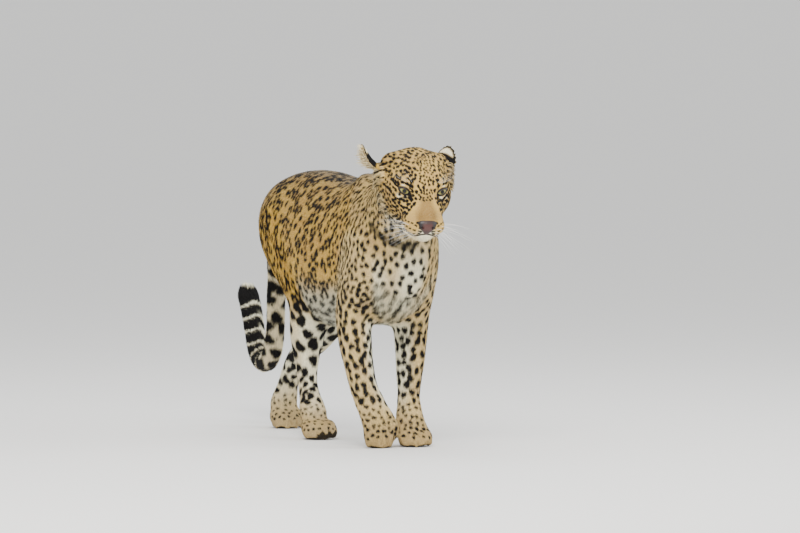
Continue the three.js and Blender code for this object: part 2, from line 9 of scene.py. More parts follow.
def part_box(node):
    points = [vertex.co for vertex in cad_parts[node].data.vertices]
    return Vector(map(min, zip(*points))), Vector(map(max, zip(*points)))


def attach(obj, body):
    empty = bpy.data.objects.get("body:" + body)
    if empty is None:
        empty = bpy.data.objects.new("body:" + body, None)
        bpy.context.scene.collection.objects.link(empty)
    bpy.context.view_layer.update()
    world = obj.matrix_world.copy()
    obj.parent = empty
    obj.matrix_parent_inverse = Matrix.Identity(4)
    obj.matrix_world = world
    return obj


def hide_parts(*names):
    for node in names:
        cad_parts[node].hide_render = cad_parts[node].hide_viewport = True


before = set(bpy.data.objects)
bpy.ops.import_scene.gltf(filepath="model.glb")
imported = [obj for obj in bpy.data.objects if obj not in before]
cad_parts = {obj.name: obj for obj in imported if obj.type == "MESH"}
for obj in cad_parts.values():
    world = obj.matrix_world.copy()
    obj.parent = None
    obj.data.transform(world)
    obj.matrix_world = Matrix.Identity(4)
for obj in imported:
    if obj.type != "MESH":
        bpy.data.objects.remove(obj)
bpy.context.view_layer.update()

# The stance: a leopard in mid stride, head low and turned a little to its right. Places are written as
# left, forward and up in millimetres from the ground under the withers, and face places the same way
# from the point midway between the eyeballs, on a head that is turned, nodded and tilted.
BETWEEN_EYES = (-38, 330, 582)
HEAD_TURN, HEAD_NOD, HEAD_TILT = (math.radians(angle) for angle in (-10, 18, 2))


def centre_of(node):
    low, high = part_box(node)
    return (low + high) / 2


def millimetres(left, forward, up):
    return Vector((left, -forward, up)) / 1000


head_home = (centre_of("eye_left") + centre_of("eye_right")) / 2
withers_ground = head_home - millimetres(*BETWEEN_EYES)
head_frame = (
    Matrix.Translation(head_home)
    @ Matrix.Rotation(HEAD_TURN, 4, "Z")
    @ Matrix.Rotation(HEAD_NOD, 4, "X")
    @ Matrix.Rotation(HEAD_TILT, 4, "Y")
)


def on_body(left, forward, up):
    return withers_ground + millimetres(left, forward, up)


def on_head(left, forward, up):
    return head_frame @ millimetres(left, forward, up)


def head_way(left, forward, up):
    return (head_frame.to_3x3() @ millimetres(left, forward, up)).normalized()


def to_head(points):
    """Places in metres as left, forward and up on the head, in millimetres."""
    turn = np.array(head_frame.inverted())
    local = points @ turn[:3, :3].T + turn[:3, 3]
    return local * np.array((1000, -1000, 1000))


def to_body(points):
    local = points - np.array(withers_ground)
    return local * np.array((1000, -1000, 1000))


# The hide: one skin over flesh, without a seam from the nose to the tip of the tail. It is drawn round
# the solid parts as a single closed shell, smoothed over the muscles, and lies inside them by the depth
# of the coat. The head and the feet are divided more finely, to take their folds.
FLESH = [
    "torso", "neck", "head", "nose",
    "leg_front_left", "leg_front_right", "leg_hind_left", "leg_hind_right",
    "paw_front_left", "paw_front_right", "paw_hind_left", "paw_hind_right",
    "tail_root", "tail_middle", "tail_bend", "tail_tip",
]
EARS = ["ear_left", "ear_right"]
EYEBALLS = ["eye_left", "eye_right"]
SKIN_GRAIN = 0.0060  # voxel of the hide before the head and feet are divided, metres
EAR_GRAIN = 0.0021
SEAL = 0.0005  # how far the solids swell, so that their joints close


def gathered(names, grow):
    shape = bmesh.new()
    for name in names:
        shape.from_mesh(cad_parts[name].data)
    bmesh.ops.remove_doubles(shape, verts=shape.verts, dist=1e-6)
    shape.normal_update()
    for vertex in shape.verts:
        vertex.co += vertex.normal * grow
    return shape


def one_shell(shape, grain, name):
    mesh = bpy.data.meshes.new(name)
    shape.to_mesh(mesh)
    shape.free()
    holder = bpy.data.objects.new(name, mesh)
    bpy.context.scene.collection.objects.link(holder)
    remesh = holder.modifiers.new("shell", "REMESH")
    remesh.mode = "VOXEL"
    remesh.voxel_size = grain
    ready = holder.evaluated_get(bpy.context.evaluated_depsgraph_get())
    result = bpy.data.meshes.new_from_object(ready)
    bpy.data.objects.remove(holder)
    bpy.data.meshes.remove(mesh)
    return result


def places_of(mesh):
    values = np.empty(len(mesh.vertices) * 3)
    mesh.vertices.foreach_get("co", values)
    return values.reshape(-1, 3)


def normals_of(mesh):
    values = np.empty(len(mesh.vertices) * 3)
    mesh.vertex_normals.foreach_get("vector", values)
    return values.reshape(-1, 3)


def edges_of(mesh):
    values = np.empty(len(mesh.edges) * 2, dtype=np.int64)
    mesh.edges.foreach_get("vertices", values)
    return values.reshape(-1, 2)


def set_places(mesh, places):
    mesh.vertices.foreach_set("co", places.ravel())
    mesh.update()


def evened(values, edges, rounds, reach=None):
    """Each value drawn towards the mean of its neighbours, as many times as rounds says there."""
    values = values.reshape(len(values), -1).astype(float)
    count = len(values)
    a, b = edges[:, 0], edges[:, 1]
    neighbours = np.bincount(a, minlength=count) + np.bincount(b, minlength=count)
    neighbours = np.maximum(neighbours, 1)[:, None]
    for step in range(rounds):
        total = np.empty_like(values)
        for column in range(values.shape[1]):
            total[:, column] = np.bincount(a, values[b, column], count)
            total[:, column] += np.bincount(b, values[a, column], count)
        pull = 0.5 if reach is None else 0.5 * np.clip(reach - step, 0, 1)[:, None]
        values += pull * (total / neighbours - values)
    return values


def unit(vectors):
    return vectors / np.maximum(np.linalg.norm(vectors, axis=1, keepdims=True), 1e-9)


def dot(a, b):
    return np.einsum("ij,ij->i", a, b)


def ease(low, high, value):
    """A smooth step from 0 at low to 1 at high."""
    t = np.clip((value - low) / (high - low), 0, 1)
    return t * t * (3 - 2 * t)


# How many rounds of smoothing each region takes, and how deep its coat is over the skin, in millimetres
SMOOTHING = {"torso": 34, "neck": 22, "head": 4, "nose": 2, "leg": 11, "paw": 2, "tail": 12}
COAT_DEPTH = {"torso": 2.4, "neck": 2.4, "head": 1.3, "nose": 2.6, "leg": 1.6, "paw": 0.9, "tail": 1.8}


def kind_of(name):
    return name.split("_")[0]


solid_places, solid_faces, face_owner = [], [], []
for owner, name in enumerate(FLESH):
    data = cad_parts[name].data
    first = len(solid_places)
    solid_places += [v.co.copy() for v in data.vertices]
    solid_faces += [[first + v for v in face.vertices] for face in data.polygons]
    face_owner += [owner] * len(data.polygons)
solids = bvhtree.BVHTree.FromPolygons(solid_places, solid_faces)


def owners_of(places):
    return np.array([face_owner[solids.find_nearest(Vector(p))[2]] for p in places])


hide = one_shell(gathered(FLESH + EYEBALLS, SEAL), SKIN_GRAIN, "hide")
places = places_of(hide)
edges = edges_of(hide)
owners = owners_of(places)
kinds = [kind_of(name) for name in FLESH]
rounds = np.array([SMOOTHING[kind] for kind in kinds], float)[owners]
rounds = evened(rounds, edges, 6)[:, 0]
sole = places[:, 2].min()
places = evened(places, edges, int(rounds.max()) + 1, rounds)
places[:, 2] = np.maximum(places[:, 2], sole)
set_places(hide, places)
depth = np.array([COAT_DEPTH[kind] for kind in kinds], float)[owners] / 1000
depth = evened(depth, edges, 6)
above_floor = ease(0.0, 0.012, places[:, 2])[:, None]
set_places(hide, places - normals_of(hide) * depth * above_floor)


def divided(mesh, chosen):
    """The mesh with the edges of the chosen places halved."""
    shape = bmesh.new()
    shape.from_mesh(mesh)
    keep = chosen(np.array([v.co for v in shape.verts]))
    faces = [face for face in shape.faces if all(keep[v.index] for v in face.verts)]
    sides = list({side for face in faces for side in face.edges})
    bmesh.ops.subdivide_edges(shape, edges=sides, cuts=1, use_grid_fill=True)
    bmesh.ops.triangulate(shape, faces=[face for face in shape.faces if len(face.verts) > 4])
    shape.to_mesh(mesh)
    shape.free()


def is_head(points):
    left, forward, up = to_head(points).T
    return (forward > -112) & (np.abs(left) < 95) & (up > -135)


def is_face(points):
    left, forward, up = to_head(points).T
    return (forward > -14) & (np.abs(left) < 75) & (up > -112) & (up < 45)


divided(hide, is_head)
places, edges = places_of(hide), edges_of(hide)
places = evened(places, edges, 3, np.where(is_head(places), 3.0, 0.0))
set_places(hide, places)
divided(hide, is_face)
places, edges = places_of(hide), edges_of(hide)
places = evened(places, edges, 3, np.where(is_face(places), 3.0, 0.0))

# The eyes: balls sunk in the skull, seen through an almond opening with its outer corner raised. The
# skin hugs the ball at the lids' edge, falls away behind it, and rises to the brow and the cheek.
EYE_APART = 39
EYEBALL = 14.5
EYE_AIM = (26, 100, 8)
LID_HALF_LENGTH = 14
LID_RISE, LID_FALL = 6.3, 6.2
LID_SLANT = math.radians(20)


class EyeSeat:
    """One eye's place and its own directions: sight, outwards across the face, and upwards."""

    def __init__(self, side):
        self.side = side
        self.centre = on_head(side * EYE_APART, 0, 0)
        self.sight = head_way(side * EYE_AIM[0], EYE_AIM[1], EYE_AIM[2])
        level_up = head_way(0, 0, 1)
        level_up = (level_up - self.sight * level_up.dot(self.sight)).normalized()
        outward = level_up.cross(self.sight) * side
        if outward.dot(head_way(side, 0, 0)) < 0:
            outward = -outward
        self.out = (outward * math.cos(LID_SLANT) + level_up * math.sin(LID_SLANT)).normalized()
        self.up = (level_up * math.cos(LID_SLANT) - outward * math.sin(LID_SLANT)).normalized()

    def across(self, points):
        """Distance outwards, upwards and along the sight, in millimetres."""
        local = (points - np.array(self.centre)) * 1000
        return local @ np.array(self.out), local @ np.array(self.up), local @ np.array(self.sight)

    def gap(self, out, up):
        """How far a place lies outside the almond opening; it is negative inside."""
        reach = np.clip(np.abs(out) / LID_HALF_LENGTH, 0, 1)
        limit = np.where(up > 0, LID_RISE, LID_FALL) * (1 - reach**2)
        beyond = np.maximum(np.abs(out) - LID_HALF_LENGTH, 0)
        inside = np.abs(up) - limit
        steep = 1 / np.sqrt(1 + (2 * limit.max() * reach / LID_HALF_LENGTH) ** 2)
        return np.where(beyond > 0, np.hypot(beyond, up), inside * steep)

    def on_lid(self, out, up, lift):
        """The place on a ball this much larger than the eyeball, seen at out and up along the sight."""
        radius = EYEBALL + lift
        along = math.sqrt(max(radius**2 - out**2 - up**2, 0))
        return self.centre + (self.out * out + self.up * up + self.sight * along) / 1000


seats = [EyeSeat(1), EyeSeat(-1)]
for seat in seats:
    out, up, along = seat.across(places)
    far = np.sqrt(out**2 + up**2 + along**2)
    gap = seat.gap(out, up)
    near = (along > 0) & (far < 30)
    hug = EYEBALL + 0.9
    lid = hug + (far - hug) * ease(1.0, 9.0, gap) + 1.1 * np.exp(-((gap - 3.2) / 2.0) ** 2)
    target = np.where(gap < 0, EYEBALL - 2.5, lid)
    scale = np.where(near, target / np.maximum(far, 1), 1)[:, None]
    centre = np.array(seat.centre)
    places = centre + (places - centre) * scale
set_places(hide, places)

# The mouth is a closed line under the whisker pads, and a short furrow joins it to the nose. The pads
# swell on both sides of the furrow, and the brows and cheekbones stand a little proud.
MOUTH_SIDE = [(0, 86, -77), (13, 82, -81), (27, 69, -84), (40, 46, -80), (47, 22, -72)]
FURROW = [(0, 92, -66), (0, 90, -72), (0, 86, -78)]
SWELLINGS = [  # left, forward, up, reach and height of a rise of the skin, or of a nostril's hollow
    (20, 72, -66, 15, 2.8),
    (34, 52, -66, 15, 2.4),
    (0, 74, -92, 12, 1.0),
    (27, 20, 19, 10, 1.6),
    (47, 8, 21, 9, 1.4),
    (46, 6, -24, 14, 1.2),
    (12, 88, -58, 7, -4.5),
]


def line_distance(points, line):
    """How far each place is from a line of points, with all in millimetres."""
    nearest = np.full(len(points), np.inf)
    for a, b in zip(np.array(line[:-1], float), np.array(line[1:], float)):
        way = b - a
        t = np.clip((points - a) @ way / max(way @ way, 1e-9), 0, 1)
        nearest = np.minimum(nearest, np.linalg.norm(points - a - t[:, None] * way, axis=1))
    return nearest


def mirrored(line):
    return [(-left, forward, up) for left, forward, up in line]


face = to_head(places)
pushed = np.zeros(len(places))
for side in (1, -1):
    for left, forward, up, reach, height in SWELLINGS:
        if left == 0 and side < 0:
            continue
        away = np.linalg.norm(face - np.array((side * left, forward, up)), axis=1)
        pushed += height * np.exp(-((away / reach) ** 2))
for line, width, deep in (
    (MOUTH_SIDE, 2.2, 2.4), (mirrored(MOUTH_SIDE), 2.2, 2.4), (FURROW, 1.7, 1.6),
):
    pushed -= deep * np.exp(-((line_distance(face, line) / width) ** 2))
in_face = ease(-30, 0, face[:, 1]) * (np.abs(face[:, 0]) < 90) * (np.abs(face[:, 2]) < 130)
set_places(hide, places + normals_of(hide) * (pushed * in_face / 1000)[:, None])

# Each foot ends in four toes with shallow clefts between them, over the pads. The claws are drawn in.
TOES = {  # two places along the foot, the second at the toes' ends, and the distance between clefts
    "paw_front_left": ((50, 60), (52, 105), 14.5),
    "paw_front_right": ((-48, 82), (-34, 122), 14.5),
    "paw_hind_left": ((8, -610), (5, -560), 13.0),
    "paw_hind_right": ((-62, -245), (-66, -190), 14.0),
}
FOOT_HEIGHT = 0.042
CLEFT_DEPTH, CLEFT_WIDTH = 2.8, 2.4


def is_foot(points):
    return points[:, 2] < FOOT_HEIGHT


divided(hide, is_foot)
places, edges = places_of(hide), edges_of(hide)
places = evened(places, edges, 2, np.where(is_foot(places), 2.0, 0.0))
set_places(hide, places)
owners = owners_of(places)
ground_places = to_body(places)[:, :2]
cleft = np.zeros(len(places))
for name, (heel, toes, apart) in TOES.items():
    heel, toes = np.array(heel, float), np.array(toes, float)
    way = (toes - heel) / np.linalg.norm(toes - heel)
    along = (ground_places - toes) @ way
    aside = (ground_places - toes) @ np.array((way[1], -way[0]))
    here = owners == FLESH.index(name)
    aside -= np.median(aside[here & (along > -30)])
    nearest = np.min([np.abs(aside - line * apart) for line in (-1, 0, 1)], axis=0)
    over_sole = ease(0.050, 0.036, places[:, 2]) * ease(0.002, 0.012, places[:, 2])
    front = ease(-34, -14, along) * over_sole
    cleft = np.where(here, CLEFT_DEPTH * np.exp(-((nearest / CLEFT_WIDTH) ** 2)) * front, cleft)
set_places(hide, places - normals_of(hide) * (cleft / 1000)[:, None])

# The ears are thin round leaves bent into cups, of one skin with the head. The right one is turned out
# sideways, so its hollow shows with a fringe of long hair; the left one shows its back.
EAR_PLACES = {  # middle of the leaf and the ways that the tip and the hollow face, on the head
    "ear_left": ((64, -112, 30), (40, -38, 36), (70, -68, -10)),
    "ear_right": ((-98, -100, 33), (-50, -14, 44), (-84, 26, -52)),
}
EAR_HEIGHT = 38
EAR_HALF_WIDTH = 30
EAR_REACH = 0.06  # every place of an ear is nearer than this to its own middle, metres
ears = one_shell(gathered(EARS, 0.0), EAR_GRAIN, "ears")
ear_places, ear_edges = places_of(ears), edges_of(ears)
set_places(ears, evened(ear_places, ear_edges, 3))
skin_parts = bmesh.new()
skin_parts.from_mesh(hide)
hide_count = len(hide.vertices)
skin_parts.from_mesh(ears)
skin_parts.to_mesh(hide)
skin_parts.free()
bpy.data.meshes.remove(ears)
for polygon in hide.polygons:
    polygon.use_smooth = True
places, edges = places_of(hide), edges_of(hide)
normals = normals_of(hide)
is_ear = np.arange(len(places)) >= hide_count
owners = owners_of(places)

# The lie of the coat: from the nose back over the head, along the neck and trunk, down the flanks, and
# down each limb and the tail. Each line runs the way the hair points, with its places on the body.
LINES = {
    "head": [(-52, 412, 560), (-44, 362, 566), (-38, 325, 574), (-34, 275, 572), (-26, 222, 566)],
    "neck": [(-30, 240, 570), (-16, 170, 536), (-6, 110, 508), (0, 50, 488), (0, -20, 470)],
    "torso": [
        (0, 108, 450), (0, 30, 430), (0, -110, 410), (0, -270, 415), (0, -420, 430), (0, -550, 452),
        (0, -625, 478),
    ],
    "tail": [
        (0, -560, 525), (3, -620, 500), (12, -668, 446), (22, -698, 370), (28, -718, 292),
        (30, -730, 215), (30, -751, 160), (30, -798, 135), (30, -841, 160), (30, -862, 210),
        (30, -884, 258), (30, -905, 289),
    ],
    "front_left": [
        (58, 40, 480), (64, 62, 408), (73, 22, 350), (78, -14, 300), (73, -10, 240), (66, 2, 175),
        (58, 14, 115), (52, 32, 76), (50, 60, 30), (52, 105, 12),
    ],
    "front_right": [
        (-58, 52, 482), (-70, 80, 412), (-78, 48, 352), (-78, 18, 302), (-76, 28, 240),
        (-73, 46, 178), (-67, 60, 130), (-58, 76, 98), (-48, 92, 62), (-30, 112, 12),
    ],
    "hind_left": [
        (38, -500, 470), (44, -466, 400), (50, -420, 322), (48, -432, 262), (38, -488, 212),
        (27, -552, 172), (20, -584, 146), (14, -612, 96), (8, -610, 30), (5, -560, 12),
    ],
    "hind_right": [
        (-38, -490, 470), (-42, -432, 410), (-46, -362, 352), (-48, -325, 298), (-47, -332, 240),
        (-44, -345, 195), (-43, -346, 158), (-46, -336, 125), (-54, -300, 90), (-62, -245, 30),
        (-66, -190, 12),
    ],
}


def line_name(node):
    kind = kind_of(node)
    if kind in ("leg", "paw"):
        return node[4:]
    return {"nose": "head"}.get(kind, kind)


class Run:
    """Where places lie along a line: the way it runs there, the length run, and the turn round it."""

    def __init__(self, points, line):
        line = np.array([on_body(*p) for p in line])
        steps = np.linalg.norm(np.diff(line, axis=0), axis=1)
        starts = np.concatenate(([0], np.cumsum(steps)))
        best = np.full(len(points), np.inf)
        self.way = np.zeros((len(points), 3))
        self.length = np.zeros(len(points))
        self.from_line = np.zeros((len(points), 3))
        for i, (a, b) in enumerate(zip(line[:-1], line[1:])):
            way = (b - a) / steps[i]
            t = np.clip((points - a) @ way, 0, steps[i])
            away = points - a - t[:, None] * way
            far = np.linalg.norm(away, axis=1)
            nearer = far < best
            best[nearer] = far[nearer]
            self.way[nearer] = way
            self.length[nearer] = starts[i] + t[nearer]
            self.from_line[nearer] = away[nearer]
        self.total = starts[-1]
        side = np.array((1.0, 0, 0))
        side = unit(side - self.way * (self.way @ side)[:, None])
        top = np.cross(side, self.way)
        out = unit(self.from_line)
        self.turn = np.arctan2(dot(out, side), dot(out, top))
        self.out = out


DOWN = np.array((0, 0, -1.0))
NOSE_TOP = (0, 84, -38)
flow = np.zeros_like(places)
run_length = np.zeros(len(places))
run_turn = np.zeros(len(places))
for owner, node in enumerate(FLESH):
    here = (owners == owner) & ~is_ear
    run = Run(places[here], LINES[line_name(node)])
    way = run.way.copy()
    kind = kind_of(node)
    if kind == "torso":
        flank = np.clip(np.abs(normals[here, 0]), 0, 1)
        way += DOWN * (0.55 * flank + 0.15)[:, None]
    elif kind == "neck":
        way += DOWN * (0.5 * np.abs(normals[here, 0]) + 0.25)[:, None]
    elif kind in ("head", "nose"):
        way = unit(places[here] - np.array(on_head(*NOSE_TOP)))
        behind = ease(-30, -110, to_head(places[here])[:, 1])[:, None]
        way = way * (1 - behind) + (run.way + 0.35 * DOWN) * behind
    elif kind == "leg":
        way += np.array((0, 0.35, -0.2)) * ease(0.30, 0.42, places[here, 2])[:, None]
    flow[here] = way
    run_length[here] = run.length
    run_turn[here] = run.turn
for name in EARS:
    middle, tip, _ = EAR_PLACES[name]
    here = is_ear & (np.linalg.norm(places - np.array(on_head(*middle)), axis=1) < EAR_REACH)
    flow[here] = np.array(head_way(*tip))


def laid(ways, facing):
    return unit(ways - facing * dot(ways, facing)[:, None])


flow = laid(flow, normals)
for _ in range(4):
    flow = laid(evened(flow, edges, 3), normals)

# The colours of the coat are washes of ochre, cream and grey-brown: wet hair along the back, and
# painted shade on the lower flank. Cream covers the throat, chest, belly and inner sides of the legs,
# and most of the tail, and shades into the chin.
left, forward, up = to_body(places).T
hl, hf, hu = to_head(places).T
region = np.array([line_name(name) for name in FLESH])[owners]
on_the_head = (region == "head") & ~is_ear


def within(names):
    return np.isin(region, names) & ~is_ear


white = np.zeros(len(places))
side_turn = np.abs(run_turn)
belly = 0.85 * ease(2.0, 2.5, side_turn) + 0.4 * ease(385, 270, up) * ease(1.3, 1.8, side_turn)
white = np.where(within(["torso"]), np.clip(belly, 0, 1), white)
chest = ease(0.55, 0.95, normals @ np.array((-0.1, -0.85, -0.5))) * ease(120, 60, np.abs(left + 8))
chest *= 0.3 + 0.7 * ease(470, 390, up)
white = np.where(within(["torso", "neck"]) & (forward > 40), np.maximum(white * 0.6, chest), white)
throat = ease(2.0, 2.7, side_turn) * ease(470, 520, up)
white = np.where(within(["neck"]), np.maximum(white, throat), white)
for name, sign in (("front_left", 1), ("front_right", -1), ("hind_left", 1), ("hind_right", -1)):
    inner = -sign * normals[:, 0]
    if name.startswith("front"):
        pale = ease(0.1, 0.6, inner) * ease(60, 150, up)
    else:
        frontward = -normals[:, 1]
        pale = ease(0.15, 0.55, np.maximum(inner, frontward * 0.9)) * ease(480, 380, up)
        pale = np.maximum(pale, 0.75 * ease(330, 230, up)) * (0.4 + 0.6 * ease(20, 150, up))
    white = np.where(within([name]), pale, white)
tail_white = ease(0.10, 0.26, run_length)
white = np.where(within(["tail"]), tail_white * (0.7 + 0.3 * ease(0.5, 0.6, run_length)), white)
muzzle_white = ease(24, 12, np.abs(hl)) * ease(-58, -68, hu) * ease(56, 70, hf)
chin_white = 0.5 * ease(-80, -88, hu) * ease(-60, 0, hf)
jaw_white = ease(-62, -84, hu) * ease(-110, -60, hf) * 0.6
head_white = np.maximum(np.maximum(muzzle_white, chin_white), jaw_white)
white = np.where(on_the_head, head_white, white)

wet_and_shade = ease(0.62, 0.97, normals[:, 2]) * ease(120, 20, forward) * within(["torso", "neck"])
wet_and_shade = np.maximum(wet_and_shade, 0.45 * ease(0.2, 0.8, normals[:, 2]) * within(["torso"]) * ease(90, -40, forward))
# Painted shade: the lower flank is darkened with the grey-brown of wet hair, for the shade that lies
# there.
lower_flank_shade = within(["torso"]) * ease(390, 300, up) * ease(10, -40, forward)
wet_and_shade = np.maximum(wet_and_shade, 0.4 * lower_flank_shade)
paler = {"head": 0.12, "neck": 0.2, "torso": 0.05, "front_left": 0.3, "front_right": 0.3}
for name, least in paler.items():
    white = np.where(within([name]), least + (1 - least) * white, white)
white = evened(np.clip(white, 0, 1), edges, 6)[:, 0]
wet_and_shade = evened(np.clip(wet_and_shade, 0, 1), edges, 8)[:, 0]

TAIL_LENGTH = Run(places[:1], LINES["tail"]).total
RINGS_FROM = TAIL_LENGTH - 0.215

# The spots: broken rosettes with a warmer middle on the flanks and haunches, solid spots on the neck,
# shoulders and limbs, small ones on the face, blotches and then rings on the tail. Each is
# dropped at a seeded random place, no nearer to the others than its region allows.
seeded = np.random.default_rng(11)
SPOT = {  # spacing, half width across the hair and half length along it, in millimetres
    "torso": (30.5, 12.8, 14.8),
    "shoulder": (16.6, 5.9, 7.4),
    "neck": (14.5, 4.7, 6.4),
    "chest": (21, 6.4, 7.8),
    "belly": (27, 8.6, 11.0),
    "crown": (7.8, 2.7, 3.3),
    "forehead": (12.2, 4.2, 5.5),
    "cheek": (10.6, 4.2, 5.1),
    "front_leg": (20, 7.0, 9.0),
    "hind_thigh": (30.5, 12.8, 14.8),
    "hind_leg": (35, 13.4, 15.0),
    "hock": (23, 8.4, 9.4),
    "hind_paw": (13.5, 4.2, 3.4),
    "paw": (14.8, 4.8, 5.0),
    "tail": (36, 15.0, 15.0),
    "none": (90, 0.0, 0.0),
}
KINDS = list(SPOT)
CROWDING = 0.8  # the least share of its spacing that a spot keeps
ROSETTE_SHARE = 0.86  # of the marks where rosettes grow, the rest are small solid spots
SMALL = 0.62  # size of such a solid spot beside a rosette
MOST_SPOTS = 6000
LEAN = 0.3  # how far a mark's own direction strays from the lie of the coat, radians


def spot_kinds():
    kind = np.full(len(places), KINDS.index("none"))

    def mark(where, name):
        kind[where] = KINDS.index(name)

    mark(within(["torso"]), "torso")
    mark(within(["torso"]) & (forward > -60), "shoulder")
    mark(within(["torso", "neck"]) & (white > 0.6), "belly")
    mark(within(["neck"]) & (white <= 0.6), "neck")
    mark(within(["torso", "neck"]) & (forward > 40) & (normals[:, 1] < -0.25), "chest")
    mark(within(["front_left", "front_right"]), "front_leg")
    mark(within(["front_left", "front_right"]) & (up > 330), "shoulder")
    mark(within(["hind_left", "hind_right"]), "hind_leg")
    mark(within(["hind_left", "hind_right"]) & (up > 300) & (np.abs(normals[:, 0]) > 0.3), "hind_thigh")
    mark(within(["hind_left", "hind_right"]) & (up < 150), "hock")
    mark(within(["hind_left", "hind_right"]) & (up < 78), "hind_paw")
    mark(within(["hind_left", "hind_right"]) & (up < 22), "none")
    mark(within(["front_left", "front_right"]) & (up < 95), "paw")
    mark(within(["front_left", "front_right"]) & (up < 20), "none")
    mark(within(["tail"]), "tail")
    mark(within(["tail"]) & (run_length > RINGS_FROM), "none")
    mark(on_the_head, "forehead")
    mark(on_the_head & (np.abs(hl - 4) < 17) & (hf > -52) & (hu > 18), "crown")
    mark(on_the_head & (hu < -5), "cheek")
    mark(on_the_head & (hu < -30) & (hf < -50), "neck")
    bridge = (np.abs(hl) < 25) & (hf > 14) & (hu < -7)
    mark(on_the_head & (np.abs(hl) < 16) & (hf > 8) & (hu > -8) & (hu < 14), "crown")
    mark(on_the_head & bridge, "none")
    mark(on_the_head & (hf > 48) & (hu < -7), "none")
    mark(on_the_head & (hf > 30) & (hu < -48), "none")
    mark(on_the_head & (hu < -80) & (hf > 22), "none")
    for seat in seats:
        out, rise, along = seat.across(places)
        ring = (along > 0) & (seat.gap(out, rise) < 5.5)
        mark(on_the_head & ring, "none")
    return kind


spot_kind = spot_kinds()
spacing = np.array([SPOT[name][0] for name in KINDS])[spot_kind] / 1000
spots = []
spot_places = np.zeros((MOST_SPOTS, 3))
spot_spacing = np.zeros(MOST_SPOTS)
none = KINDS.index("none")
for i in seeded.permutation(len(places)):
    if spot_kind[i] == none or is_ear[i]:
        continue
    count = len(spots)
    apart = np.linalg.norm(spot_places[:count] - places[i], axis=1)
    if np.any(apart < 0.5 * (spacing[i] + spot_spacing[:count]) * CROWDING):
        continue
    spot_places[count] = places[i]
    spot_spacing[count] = spacing[i]
    spots.append(i)
spots = np.array(spots)
spot_places = spot_places[: len(spots)]
count = len(spots)
kind_at = spot_kind[spots]
size_across = np.array([SPOT[name][1] for name in KINDS])[kind_at] / 1000
size_along = np.array([SPOT[name][2] for name in KINDS])[kind_at] / 1000
grown = seeded.uniform(0.82, 1.15, count)
size_across *= grown
size_along *= grown * seeded.uniform(0.9, 1.15, count)
rosette = np.isin(kind_at, [KINDS.index("torso"), KINDS.index("hind_thigh")])
rosette &= seeded.random(count) < ROSETTE_SHARE
rosette &= white[spots] < 0.75
small = np.isin(kind_at, [KINDS.index("torso"), KINDS.index("hind_thigh")]) & ~rosette
size_across[small] *= SMALL
size_along[small] *= SMALL
spot_flow = flow[spots]
lean = seeded.normal(0, LEAN, count)
spot_side = np.cross(normals[spots], spot_flow)
spot_flow, spot_side = (
    spot_flow * np.cos(lean)[:, None] + spot_side * np.sin(lean)[:, None],
    spot_side * np.cos(lean)[:, None] - spot_flow * np.sin(lean)[:, None],
)
BLOBS = 5
blob_turn = (np.arange(BLOBS) / BLOBS * 2 * np.pi)[None, :] + seeded.uniform(0, 6.3, (count, 1))
blob_turn = blob_turn + seeded.normal(0, 0.2, (count, BLOBS))
blob_far = seeded.uniform(0.64, 0.80, (count, BLOBS))
blob_size = seeded.uniform(0.36, 0.49, (count, BLOBS))
blob_size *= seeded.random((count, BLOBS)) < 0.88
wobble = seeded.uniform(0, 6.3, (count, 3))
spot_tree = kdtree.KDTree(count)
for i, p in enumerate(spot_places):
    spot_tree.insert(p, i)
spot_tree.balance()
NEAREST = 3


def spot_marks(points):
    """How dark each place is, and how far it lies in the warm middle of a rosette."""
    near = np.array([[found[1] for found in spot_tree.find_n(p, NEAREST)] for p in points])
    dark = np.zeros(len(points))
    warm = np.zeros(len(points))
    for column in range(NEAREST):
        i = near[:, column]
        away = points - spot_places[i]
        u = dot(away, spot_flow[i]) / np.maximum(size_along[i], 1e-5)
        v = dot(away, spot_side[i]) / np.maximum(size_across[i], 1e-5)
        far = np.hypot(u, v)
        turn = np.arctan2(v, u)
        ragged = 1 + 0.13 * np.sin(2 * turn + wobble[i, 0]) + 0.10 * np.sin(3 * turn + wobble[i, 1])
        ragged += 0.05 * np.sin(7 * turn + wobble[i, 2])
        solid = ease(1.12, 0.88, far / ragged)
        ring = np.zeros(len(points))
        for k in range(BLOBS):
            size = np.maximum(blob_size[i, k], 1e-3)
            du = u - blob_far[i, k] * np.cos(blob_turn[i, k])
            dv = v - blob_far[i, k] * np.sin(blob_turn[i, k])
            ring = np.maximum(ring, ease(1.15, 0.9, np.hypot(du, dv) / size))
        dark = np.maximum(dark, np.where(rosette[i], ring, solid))
        warm = np.maximum(warm, np.where(rosette[i], ease(1.0, 0.5, far), 0))
    return dark, warm


# The marks that name this face and tail are laid as strokes: the dark rim, brow and tear line of each
# eye, the whisker rows, the wing of the nostril, the dark corner of the mouth, the collar under the
# cheek and the rings of the tail. The end of the tail is black under a fringe of white.
RIM_WIDTH = 3.0
WHISKER_ROWS = [  # places on the right whisker pad, from the lip's edge backwards
    [(-11, 84, -62), (-20, 76, -58), (-30, 64, -56), (-39, 50, -54)],
    [(-11, 85, -67), (-21, 77, -64), (-32, 64, -62), (-41, 49, -61)],
    [(-12, 85, -72), (-22, 77, -70), (-33, 64, -68), (-42, 48, -68)],
    [(-14, 83, -77), (-24, 75, -76), (-34, 63, -75), (-43, 46, -75)],
]
TEAR_LINE = [(-25, 15, -8), (-20, 22, -16), (-18, 30, -25)]
OUTER_LINE = [(-53, -3, 6), (-60, -14, 10), (-68, -28, 14)]
UNDER_LINE = [(-72, -22, -8), (-62, -6, -15), (-48, 8, -21), (-34, 18, -25)]
CORNER_PATCH = [(-38, 48, -86), (-46, 26, -81)]
NOSE_WING = [(-17, 84, -46), (-22, 79, -48)]
BROW_BAR = [(-25, 10, 10), (-24, 4, 20)]
